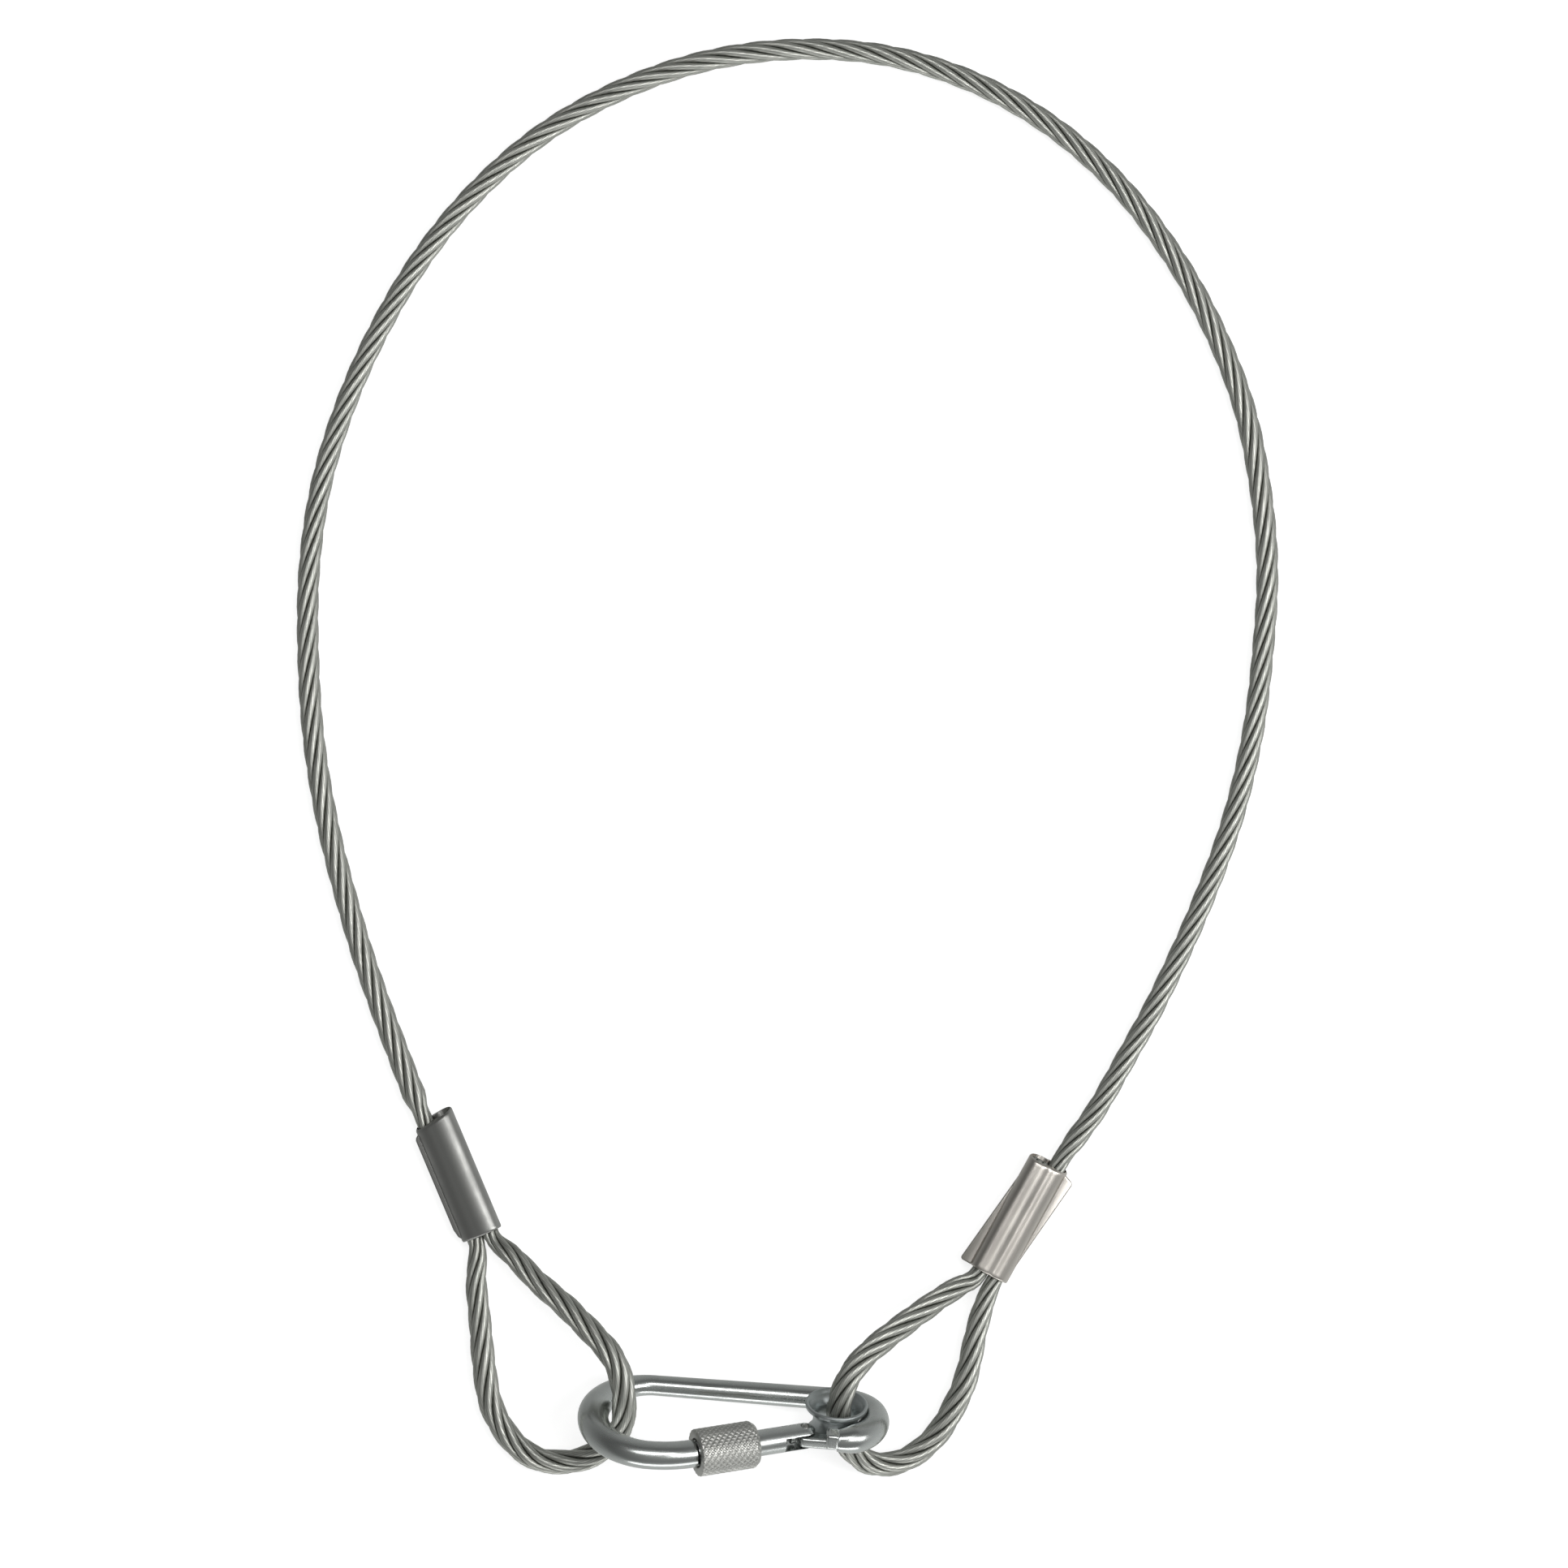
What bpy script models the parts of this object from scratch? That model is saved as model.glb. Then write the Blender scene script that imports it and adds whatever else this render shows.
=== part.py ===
"""Wire rope safety sling closed by a screw-lock snap hook.

A steel wire rope runs in one wide loop between two swaged eyes. The right eye is
captive in the hook's eyelet thimble. The left eye is clipped over the back bar of
the hook, whose sprung gate is held shut by a knurled lock nut.

Hook pieces are drawn in the hook's own frame, u along the back bar, w out of the
hook's plane and v from the back bar to the gate, and are then leaned into place.
"""
import math

import bmesh
import bpy
from mathutils import Matrix, Vector

MM = 0.001
WELD_DISTANCE = 0.001 * MM
TURN_MERGE = 0.01 * MM
TURN_STEPS = 32
SHARP_ANGLE = math.radians(35.0)

# Rope
PRESSED_RADIUS = 1.5 * MM
PRESSED_OFFSET = 1.6 * MM
EYE_STEP = 4.5 * MM
LOOP_STEP = 17.0 * MM
DEAD_END_SETBACK = 1.3 * MM
PRESSED_RUN_REACH = 1.2 * MM

# Radius of the rope along an eye and along the loop, as (share of the way, radius in mm)
EYE_RADII = [(0.0, 1.85), (0.12, 2.12), (0.88, 2.12), (1.0, 1.85)]
LOOP_RADII = [(0.0, 2.05), (0.25, 1.85), (0.5, 1.85), (0.7, 1.95), (1.0, 1.8)]

# Round the left eye, from the raised leg over the back bar to the floor leg, in mm
LEFT_EYE_ROUTE = [
    (-37.1, 27.6, 4.6), (-33.0, 23.5, 6.0), (-28.3, 19.6, 7.6), (-24.2, 15.7, 9.0),
    (-21.1, 12.5, 10.2), (-19.3, 9.6, 10.8), (-18.45, 6.5, 10.8), (-18.15, 3.2, 10.0),
    (-18.5, 0.0, 8.3), (-19.9, -2.9, 6.1), (-22.4, -5.3, 4.1), (-25.5, -6.9, 2.8),
    (-29.1, -7.5, 2.3), (-33.0, -7.0, 2.25), (-36.5, -4.8, 2.25), (-39.3, -1.3, 2.25),
    (-41.2, 3.0, 2.25), (-42.2, 9.1, 2.25), (-42.9, 16.7, 2.25), (-43.5, 23.0, 2.25),
]

# Round the wide loop on the floor, from the left ferrule to the right one, in mm
LOOP_ROUTE = [
    (-53.5, 54.6, 2.3), (-55.9, 60.1, 2.2), (-60.2, 71.1, 2.15), (-63.9, 82.3, 2.1),
    (-68.3, 98.9, 2.1), (-71.0, 114.6, 2.1), (-72.1, 129.6, 2.0), (-71.9, 144.1, 2.0),
    (-69.8, 158.1, 2.0), (-65.7, 171.6, 2.0), (-60.0, 184.4, 2.0), (-52.7, 196.7, 2.0),
    (-43.6, 207.8, 2.0), (-32.5, 217.5, 2.0), (-19.5, 224.9, 2.0), (-5.2, 229.9, 2.0),
    (9.9, 232.1, 2.0), (25.4, 231.2, 2.0), (40.1, 226.8, 2.0), (53.4, 219.5, 2.0),
    (64.9, 209.6, 2.0), (74.1, 197.9, 2.0), (81.4, 185.4, 2.0), (86.8, 172.0, 2.0),
    (89.7, 158.1, 2.0), (91.0, 144.1, 2.0), (90.2, 129.9, 2.0), (88.3, 115.6, 2.0),
    (84.6, 101.0, 2.0), (79.1, 86.1, 2.0), (72.2, 71.1, 2.0), (66.2, 60.1, 2.0),
    (61.8, 52.4, 2.1), (58.2, 46.8, 2.2),
]

# Round the right eye, from the floor leg to the thimble and back over it, in mm
RIGHT_EYE_ROUTE = [
    (42.5, 18.9, 2.25), (41.2, 14.3, 2.25), (40.3, 9.8, 2.25), (39.1, 5.4, 2.25),
    (37.3, 1.5, 2.25), (35.3, -1.9, 2.25), (33.1, -4.4, 2.3), (30.8, -6.2, 2.5),
    (28.2, -7.4, 2.8), (25.4, -7.8, 3.3), (22.5, -7.1, 4.2), (20.3, -5.2, 5.4),
    (18.5, -2.5, 6.9), (17.9, 0.3, 8.6), (18.0, 3.2, 10.1), (18.8, 6.1, 10.9),
    (20.2, 8.8, 11.0), (22.3, 11.3, 10.5), (25.0, 13.6, 9.6), (28.3, 16.0, 8.3),
    (32.1, 18.6, 6.6), (35.6, 20.9, 5.2), (38.4, 22.5, 4.2),
]

# Swaged ferrules
FERRULE_LENGTH = 20.6 * MM
FERRULE_END_RADIUS = 2.3 * MM
FERRULE_HALF_FLAT = 1.3 * MM
FERRULE_BORE_RADIUS = 1.78 * MM
FERRULE_EDGE_ROUND = 0.35 * MM
FERRULE_BACK_REACH = 1.6 * MM
FERRULE_BACK_CUT = math.radians(-14.0)
LEFT_BACK_YAW = math.radians(12.0)
RIGHT_BACK_YAW = 0.0
FIN_HALF_THICKNESS = 0.45 * MM
LEFT_FERRULE_CENTRE = Vector((-46.4, 40.5, 2.7)) * MM
LEFT_FERRULE_AXIS = Vector((8.0, -19.0, 0.0)).normalized()
LEFT_FERRULE_INWARD = Vector((19.0, 8.0, 0.0)).normalized()
RIGHT_FERRULE_CENTRE = Vector((48.2, 33.4, 2.7)) * MM
RIGHT_FERRULE_AXIS = Vector((-10.2, -18.4, 0.0)).normalized()
RIGHT_FERRULE_INWARD = Vector((-18.4, 10.2, 0.0)).normalized()
FERRULE_ROLL = math.radians(15.0)

# Pressing fins, as (along, inward) corners in mm from each ferrule's centre
LEFT_FIN = [(-9.4, -4.2), (7.6, -4.2), (9.8, -3.3), (9.8, 3.3), (-10.6, 3.3), (-9.8, -3.3)]
RIGHT_FIN = [(-9.9, 3.2), (9.9, 5.4), (10.2, 3.0), (10.0, -3.2), (-10.1, -5.2), (-10.8, -3.3)]

# Hook wire, thinnest along the back bar and thickest round the wide bend
NOSE_WIRE_RADIUS = 2.35 * MM
WIDE_WIRE_RADIUS = 2.6 * MM
BAR_WIRE_RADIUS = 1.72 * MM
BAR_END_WIRE_RADIUS = 1.95 * MM
EYE_WIRE_RADIUS = 2.5 * MM
BACK_BAR_START = -13.4 * MM
WIDE_BEND_RADIUS = 10.03 * MM
NOSE_BEND_RADIUS = 19.62 * MM
GATE_SLOPE = math.radians(22.0)
EYE_CENTRE_U = 17.25 * MM
EYE_RADIUS = 6.6 * MM
EYE_TILT = math.radians(-4.5)
SHOULDER_ANGLE = math.radians(86.0)
PIVOT_U = 12.2 * MM
PIVOT_V = 11.26 * MM

# Squared end of the wire that the tongue stands out of
SHOULDER_CENTRE = Vector((16.95, 1.6, 13.75)) * MM
SHOULDER_HALF_SIZE = (1.15 * MM, 1.45 * MM, 1.4 * MM)

# Flattened tongue that carries the gate
TONGUE_HALF_THICKNESS = 1.0 * MM
TONGUE_INNER_REACH = 1.4 * MM
TONGUE_OUTER_V = 13.6 * MM
TONGUE_ROOT_U = 17.6 * MM
TONGUE_CORNER_U = 13.0 * MM
TONGUE_END = 1.45 * MM
TONGUE_END_OUTER = 1.9 * MM
TONGUE_END_INNER = -1.2 * MM
TONGUE_HOLE_RADIUS = 0.85 * MM

# Latch blade on the nose
NOSE_FACE = 19.68 * MM
BLADE_TIP = 17.9 * MM
BLADE_HALF_THICKNESS = 0.75 * MM
BLADE_HALF_HEIGHT = 1.1 * MM
NOTCH_START = 18.35 * MM
NOTCH_END = 19.45 * MM
NOTCH_TOP = 0.15 * MM

# Thimble
THIMBLE_GROOVE_RADIUS = 2.8 * MM
THIMBLE_WALL = 0.6 * MM
THIMBLE_GROOVE_HALF_WIDTH = 2.35 * MM
THIMBLE_RIM_RADIUS = 5.25 * MM
THIMBLE_HALF_LENGTH = 3.1 * MM
THIMBLE_MOUTH_HALF_WIDTH = 2.75 * MM
THIMBLE_LOW_TRIM = 0.3 * MM
THIMBLE_RIM_ROUND = 0.4 * MM
THIMBLE_RIM_CHAMFER = 0.1 * MM

# Gate
GATE_RADIUS = 2.2 * MM
GATE_LENGTH = 19.35 * MM
GATE_CHAMFER = 0.25 * MM
FORK_SLOT_DEPTH = 4.0 * MM
FORK_SLOT_HALF_WIDTH = 1.3 * MM
LATCH_SLOT_START = 17.5 * MM
LATCH_SLOT_HALF_WIDTH = 1.05 * MM
SPRING_BORE_RADIUS = 1.05 * MM
SPRING_BORE_END = 13.0 * MM
EAR_HOLE_RADIUS = 0.8 * MM
SPOTFACE_RADIUS = 1.1 * MM
SPOTFACE_HEIGHT = 1.85 * MM
PIN_HOLE_RADIUS = 0.45 * MM

# Pins
RIVET_RADIUS = 0.6 * MM
RIVET_HEAD_RADIUS = 0.85 * MM
RIVET_HEAD_BASE = 2.0 * MM
RIVET_HEAD_TOP = 2.2 * MM
LATCH_PIN_RADIUS = 0.35 * MM
LATCH_PIN_HALF_LENGTH = 2.0 * MM
LATCH_PIN_PLACE = 18.85 * MM
LATCH_PIN_OFFSET = -0.45 * MM

# Spring and plunger
PLUNGER_FACE = 1.75 * MM
PLUNGER_HEAD_END = 2.7 * MM
PLUNGER_HEAD_RADIUS = 0.95 * MM
PLUNGER_STEM_RADIUS = 0.4 * MM
PLUNGER_STEM_END = 6.0 * MM
SPRING_START = 3.05 * MM
SPRING_END = 12.6 * MM
SPRING_COIL_RADIUS = 0.7 * MM
SPRING_WIRE_RADIUS = 0.15 * MM
SPRING_TURNS = 13

# Lock nut
NUT_RADIUS = 4.0 * MM
NUT_START = 8.85 * MM
NUT_END = 19.35 * MM
NUT_BORE_RADIUS = 2.5 * MM
NUT_CHAMFER = 0.6 * MM

# Hook placing: leaned back from upright and turned on the floor
HOOK_LEAN = math.radians(28.75)
HOOK_TURN = math.radians(-4.4)
HOOK_POSITION = Vector((0.36, 4.43, 2.05)) * MM

# Point on the axis that the hook tilts about in the rope's eyes
TILT_CENTRE = Vector((0.0, 2.9, 8.9)) * MM

UP = Vector((0.0, 0.0, 1.0))
NORMAL_W = Vector((0.0, 1.0, 0.0))


def plane_point(u, v):
    return Vector((u, 0.0, v))


EYE_CENTRE = plane_point(EYE_CENTRE_U, EYE_RADIUS)
PIVOT = plane_point(PIVOT_U, PIVOT_V)
GATE_AXIS = plane_point(-math.cos(GATE_SLOPE), math.sin(GATE_SLOPE))
GATE_OUTWARD = plane_point(math.sin(GATE_SLOPE), math.cos(GATE_SLOPE))


def hook_matrix():
    lean = Matrix.Rotation(HOOK_LEAN, 4, "X")
    turn = Matrix.Rotation(HOOK_TURN, 4, "Z")
    return Matrix.Translation(HOOK_POSITION) @ turn @ lean


def eye_tilt():
    """The eye is bent a little out of the hook's plane about the back bar."""
    return Matrix.Rotation(EYE_TILT, 4, "X")


def gate_matrix():
    """Frame of the gate: X out of the plane, Y outward, Z along the gate to the nose."""
    out_of_plane = GATE_OUTWARD.cross(GATE_AXIS)
    columns = (out_of_plane, GATE_OUTWARD, GATE_AXIS)
    turn = Matrix.Identity(4)
    for index, column in enumerate(columns):
        for row in range(3):
            turn[row][index] = column[row]
    return Matrix.Translation(PIVOT) @ turn


def axis_turn(direction):
    """Rotation that takes Z to a direction."""
    return direction.to_track_quat("Z", "Y").to_matrix().to_4x4()


def clear_scene():
    for item in list(bpy.data.objects):
        bpy.data.objects.remove(item, do_unlink=True)


def make_collection(name):
    group = bpy.data.collections.new(name)
    bpy.context.scene.collection.children.link(group)
    return group


def make_material(name, colour, roughness, metallic):
    material = bpy.data.materials.new(name)
    material.use_nodes = True
    shader = material.node_tree.nodes["Principled BSDF"]
    shader.inputs["Base Color"].default_value = (*colour, 1.0)
    shader.inputs["Roughness"].default_value = roughness
    shader.inputs["Metallic"].default_value = metallic
    material.diffuse_color = (*colour, 1.0)
    return material


# ---------------------------------------------------------------- modelling tools


def link_mesh(name, shell, group):
    """Object from a bmesh, which is freed."""
    mesh = bpy.data.meshes.new(name)
    shell.to_mesh(mesh)
    shell.free()
    item = bpy.data.objects.new(name, mesh)
    group.objects.link(item)
    return item


def box(name, centre, half_size, group):
    shell = bmesh.new()
    bmesh.ops.create_cube(shell, size=2.0)
    bmesh.ops.scale(shell, vec=half_size, verts=shell.verts)
    bmesh.ops.translate(shell, vec=centre, verts=shell.verts)
    return link_mesh(name, shell, group)


def bar(name, start, end, radius, group, sides=24):
    """Round bar between two points."""
    axis = end - start
    shell = bmesh.new()
    bmesh.ops.create_cone(shell, cap_ends=True, segments=sides, radius1=radius, radius2=radius,
                          depth=axis.length)
    place_on_axis = Matrix.Translation((start + end) / 2.0) @ axis_turn(axis.normalized())
    bmesh.ops.transform(shell, matrix=place_on_axis, verts=shell.verts)
    return link_mesh(name, shell, group)


def turned(name, profile, group, steps=TURN_STEPS, closed=False):
    """Solid of revolution about Z from a (radius, height) profile running down its outer side."""
    shell = bmesh.new()
    verts = [shell.verts.new((radius, 0.0, height)) for radius, height in profile]
    for first, second in zip(verts, verts[1:]):
        shell.edges.new((first, second))
    if closed:
        shell.edges.new((verts[-1], verts[0]))
    item = link_mesh(name, shell, group)
    screw = item.modifiers.new("turn", "SCREW")
    screw.axis = "Z"
    screw.steps = steps
    screw.render_steps = steps
    screw.use_merge_vertices = True
    screw.merge_threshold = TURN_MERGE
    bake_modifiers(item)
    return item


def wire(name, samples, group, resolution=3):
    """Round wire through (point, radius) samples, with capped ends."""
    curve = bpy.data.curves.new(name, "CURVE")
    curve.dimensions = "3D"
    curve.bevel_depth = 1.0 * MM
    curve.bevel_resolution = resolution
    curve.use_fill_caps = True
    spline = curve.splines.new("POLY")
    spline.points.add(len(samples) - 1)
    for target, (point, radius) in zip(spline.points, samples):
        target.co = (*point, 1.0)
        target.radius = radius / MM
    item = bpy.data.objects.new(name, curve)
    group.objects.link(item)
    return item


def plate(name, outline, half_thickness, group):
    """Flat outline of (x, y) pairs, thickened both ways along Z."""
    curve = bpy.data.curves.new(name, "CURVE")
    curve.dimensions = "2D"
    curve.fill_mode = "BOTH"
    curve.extrude = half_thickness
    spline = curve.splines.new("POLY")
    spline.points.add(len(outline) - 1)
    for target, (x, y) in zip(spline.points, outline):
        target.co = (x, y, 0.0, 1.0)
    spline.use_cyclic_u = True
    item = bpy.data.objects.new(name, curve)
    group.objects.link(item)
    return as_mesh(item, group)


def plane_plate(name, points, half_thickness, group):
    """Plate in the hook's plane from points of that plane, thickened along w."""
    item = plate(name, [(point.x, point.z) for point in points], half_thickness, group)
    item.data.transform(Matrix.Rotation(math.radians(90.0), 4, "X"))
    return item


def as_mesh(item, group):
    """Swap a curve object for a welded mesh of the same name."""
    name = item.name
    depsgraph = bpy.context.evaluated_depsgraph_get()
    mesh = bpy.data.meshes.new_from_object(item.evaluated_get(depsgraph))
    bpy.data.objects.remove(item, do_unlink=True)
    solid = bpy.data.objects.new(name, mesh)
    group.objects.link(solid)
    weld(solid)
    return solid


def apply_boolean(target, tool, operation):
    modifier = target.modifiers.new("shape", "BOOLEAN")
    modifier.operation = operation
    modifier.solver = "EXACT"
    modifier.object = tool
    bake_modifiers(target)


def bake_modifiers(item):
    depsgraph = bpy.context.evaluated_depsgraph_get()
    mesh = bpy.data.meshes.new_from_object(item.evaluated_get(depsgraph))
    item.modifiers.clear()
    item.data = mesh
    weld(item)


def weld(item):
    """Join the coincident points a cut leaves, drop the slivers between them and face outwards."""
    shell = bmesh.new()
    shell.from_mesh(item.data)
    bmesh.ops.remove_doubles(shell, verts=shell.verts, dist=WELD_DISTANCE)
    bmesh.ops.dissolve_degenerate(shell, edges=shell.edges, dist=WELD_DISTANCE)
    bmesh.ops.recalc_face_normals(shell, faces=shell.faces)
    shell.to_mesh(item.data)
    shell.free()


def place(item, frame, pivot=None):
    """Move a piece drawn in a frame into the world, with its origin on a pivot of that frame."""
    origin = pivot if pivot is not None else Vector((0.0, 0.0, 0.0))
    item.data.transform(Matrix.Translation(-origin))
    item.matrix_world = frame @ Matrix.Translation(origin)


def finish(item, material, group):
    item.data.materials.clear()
    item.data.materials.append(material)
    if item.name not in group.objects:
        group.objects.link(item)
    if item.type == "MESH":
        item.data.shade_smooth()
        item.data.set_sharp_from_angle(angle=SHARP_ANGLE)


# ---------------------------------------------------------------- rope and ferrules


class Ferrule:
    """Place of one ferrule: its centre, the axis towards its eye and the way between its ropes."""

    def __init__(self, centre, axis, inward, back_yaw):
        self.centre = centre
        self.back_yaw = back_yaw
        self.axis = axis
        self.inward = inward
        self.across = inward * math.cos(FERRULE_ROLL) + UP * math.sin(FERRULE_ROLL)
        self.through = self.axis.cross(self.across)
        self.upright = math.copysign(1.0, self.through.z)

    def seat(self, along, side):
        """Point on a rope's axis, side +1 for the rope that ends here, -1 for the one passing on."""
        return self.centre + self.axis * along + self.across * (side * PRESSED_OFFSET)


def ferrules():
    left = Ferrule(LEFT_FERRULE_CENTRE, LEFT_FERRULE_AXIS, LEFT_FERRULE_INWARD, LEFT_BACK_YAW)
    right = Ferrule(RIGHT_FERRULE_CENTRE, RIGHT_FERRULE_AXIS, RIGHT_FERRULE_INWARD, RIGHT_BACK_YAW)
    return left, right


def pressed_run(ferrule, side, start, stop):
    """Straight, slimmer run of rope through a ferrule, always sampled at its two ends."""
    steps = 4
    run = []
    for step in range(steps + 1):
        along = start + (stop - start) * step / steps
        run.append((ferrule.seat(along, side), PRESSED_RADIUS, EYE_STEP, step in (0, steps)))
    return run


def radius_at(radii, share):
    """Radius at a share of the way, straight-line between the listed ones."""
    for (start, first), (stop, second) in zip(radii, radii[1:]):
        if share <= stop:
            return (first + (second - first) * (share - start) / (stop - start)) * MM
    return radii[-1][1] * MM


def free_run(route, radii, step):
    run = []
    for index, point in enumerate(route):
        radius = radius_at(radii, index / (len(route) - 1))
        run.append((Vector(point) * MM, radius, step, False))
    return run


def rope_route():
    left, right = ferrules()
    half = FERRULE_LENGTH / 2.0
    mouth = half + PRESSED_RUN_REACH
    back_mouth = -(mouth + FERRULE_BACK_REACH)
    dead_end = -(half + FERRULE_BACK_REACH - DEAD_END_SETBACK)
    route = pressed_run(left, 1.0, dead_end, mouth)
    route += free_run(LEFT_EYE_ROUTE, EYE_RADII, EYE_STEP)
    route += pressed_run(left, -1.0, mouth, back_mouth)
    route += free_run(LOOP_ROUTE, LOOP_RADII, LOOP_STEP)
    route += pressed_run(right, -1.0, back_mouth, mouth)
    route += free_run(RIGHT_EYE_ROUTE, EYE_RADII, EYE_STEP)
    route += pressed_run(right, 1.0, mouth, dead_end)
    return route


def smooth_point(before, start, end, after, part):
    """Catmull-Rom point between start and end."""
    square = part * part
    cube = square * part
    return (start * 2.0
            + (end - before) * part
            + (before * 2.0 - start * 5.0 + end * 4.0 - after) * square
            + (start * 3.0 - before - end * 3.0 + after) * cube) * 0.5


def sampled_rope():
    """Points and radii along the smooth route, closer together where the rope bends tightly."""
    route = rope_route()
    last = len(route) - 1
    samples = [(route[0][0], route[0][1])]
    travelled = 0.0
    previous = route[0][0]
    parts = 12
    for index in range(last):
        before = route[max(index - 1, 0)][0]
        after = route[min(index + 2, last)][0]
        start, start_radius, step, _ = route[index]
        end, end_radius, _, run_end = route[index + 1]
        for part in range(1, parts + 1):
            share = part / parts
            point = smooth_point(before, start, end, after, share)
            travelled += (point - previous).length
            previous = point
            if travelled >= step or (run_end and part == parts):
                samples.append((point, start_radius + (end_radius - start_radius) * share))
                travelled = 0.0
    return samples


def ferrule_outline():
    """Half-round-ended section of the sleeve, as (across, through) pairs."""
    steps = 8
    outline = []
    for side in (1.0, -1.0):
        for step in range(steps + 1):
            angle = math.pi * (step / steps - 0.5)
            across = FERRULE_HALF_FLAT + FERRULE_END_RADIUS * math.cos(angle)
            outline.append((side * across, side * FERRULE_END_RADIUS * math.sin(angle)))
    return outline


def build_ferrule(name, ferrule, fin, group, cutters):
    """Pressed sleeve with its fins, drawn along Z with X across its two ropes, then placed."""
    half = FERRULE_LENGTH / 2.0
    back = half + FERRULE_BACK_REACH
    sleeve = plate(name, ferrule_outline(), (half + back) / 2.0, group)
    sleeve.data.transform(Matrix.Translation(UP * (half - back) / 2.0))
    rounding = sleeve.modifiers.new("edges", "BEVEL")
    rounding.width = FERRULE_EDGE_ROUND
    rounding.segments = 2
    rounding.limit_method = "ANGLE"
    rounding.angle_limit = math.radians(60.0)
    bake_modifiers(sleeve)
    flange = plate(name + "_fin", [(inward * MM, -along * MM) for along, inward in fin],
                   FIN_HALF_THICKNESS, cutters)
    flange.data.transform(Matrix.Rotation(math.radians(-90.0), 4, "X"))
    flange.data.transform(Matrix.Rotation(-FERRULE_ROLL * ferrule.upright, 4, "Z"))
    apply_boolean(sleeve, flange, "UNION")
    for side in (-1.0, 1.0):
        offset = Vector((side * PRESSED_OFFSET, 0.0, 0.0))
        bore = bar(name + "_bore", offset - UP * (back + MM), offset + UP * (half + MM),
                   FERRULE_BORE_RADIUS, cutters, sides=28)
        apply_boolean(sleeve, bore, "DIFFERENCE")
    cut_back_end(name, sleeve, ferrule, cutters)
    frame = Matrix.Identity(4)
    for index, column in enumerate((ferrule.across, ferrule.through, ferrule.axis)):
        for row in range(3):
            frame[row][index] = column[row]
    sleeve.data.transform(frame)
    place(sleeve, Matrix.Translation(ferrule.centre))
    return sleeve


def cut_back_end(name, sleeve, ferrule, cutters):
    """Slope the end away from the eye back over the top, which shows the ropes in their holes."""
    reach = 2.0 * FERRULE_LENGTH
    slab = box(name + "_back_cut", Vector((0.0, 0.0, -reach)), (reach, reach, reach), cutters)
    slab.data.transform(Matrix.Rotation(FERRULE_BACK_CUT * ferrule.upright, 4, "X"))
    slab.data.transform(Matrix.Rotation(ferrule.back_yaw, 4, "Y"))
    slab.data.transform(Matrix.Rotation(-FERRULE_ROLL * ferrule.upright, 4, "Z"))
    lowest = FERRULE_END_RADIUS + FERRULE_HALF_FLAT * math.sin(FERRULE_ROLL)
    rise = lowest * math.tan(abs(FERRULE_BACK_CUT))
    back = FERRULE_LENGTH / 2.0 + FERRULE_BACK_REACH
    slab.data.transform(Matrix.Translation(UP * (rise - back)))
    apply_boolean(sleeve, slab, "DIFFERENCE")


def build_sling(group, cutters):
    left, right = ferrules()
    rope = wire("wire_rope", sampled_rope(), group)
    finish(rope, make_material("wire_rope", (0.56, 0.57, 0.54), 0.4, 1.0), group)
    for name, ferrule, fin in (("left_ferrule", left, LEFT_FIN), ("right_ferrule", right, RIGHT_FIN)):
        sleeve = build_ferrule(name, ferrule, fin, group, cutters)
        finish(sleeve, make_material(name, (0.62, 0.63, 0.62), 0.4, 1.0), group)


# ---------------------------------------------------------------- hook body


def on_arc(centre, radius, angle):
    return centre + plane_point(math.cos(angle), math.sin(angle)) * radius


def blended(start, stop, share):
    """Ease from one value to another."""
    eased = share * share * (3.0 - 2.0 * share)
    return start + (stop - start) * eased


def hook_path():
    """(point, radius) samples of the bent wire from the nose face to the shoulder."""
    samples = []
    nose_centre = plane_point(BACK_BAR_START, 2.0 * WIDE_BEND_RADIUS - NOSE_BEND_RADIUS)
    for step in range(4):
        angle = math.pi / 2.0 - GATE_SLOPE * (1.0 - step / 4.0)
        samples.append((on_arc(nose_centre, NOSE_BEND_RADIUS, angle), NOSE_WIRE_RADIUS))
    wide_centre = plane_point(BACK_BAR_START, WIDE_BEND_RADIUS)
    steps = 18
    for step in range(steps + 1):
        share = step / steps
        if share < 0.5:
            radius = blended(NOSE_WIRE_RADIUS, WIDE_WIRE_RADIUS, share * 2.0)
        else:
            radius = blended(WIDE_WIRE_RADIUS, BAR_WIRE_RADIUS, share * 2.0 - 1.0)
        samples.append((on_arc(wide_centre, WIDE_BEND_RADIUS, math.pi / 2.0 + math.pi * share), radius))
    steps = 16
    for step in range(steps + 1):
        share = step / steps
        angle = -math.pi / 2.0 + (math.pi / 2.0 + SHOULDER_ANGLE) * share
        radius = blended(BAR_END_WIRE_RADIUS, EYE_WIRE_RADIUS, min(share * 2.5, 1.0))
        samples.append((eye_tilt() @ on_arc(EYE_CENTRE, EYE_RADIUS, angle), radius))
    return samples


def build_hook_body(group, cutters):
    body = as_mesh(wire("hook_body", hook_path(), group, resolution=4), group)
    shoulder = box("shoulder_blank", SHOULDER_CENTRE, SHOULDER_HALF_SIZE, cutters)
    apply_boolean(body, shoulder, "UNION")
    tongue = plane_plate("tongue_blank", tongue_outline(), TONGUE_HALF_THICKNESS, cutters)
    apply_boolean(body, tongue, "UNION")
    blade = plane_plate("blade_blank", blade_outline(), BLADE_HALF_THICKNESS, cutters)
    apply_boolean(body, blade, "UNION")
    reach = NORMAL_W * 2.0 * MM
    hole = bar("tongue_hole", PIVOT - reach, PIVOT + reach, TONGUE_HOLE_RADIUS, cutters)
    apply_boolean(body, hole, "DIFFERENCE")
    return body


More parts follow.
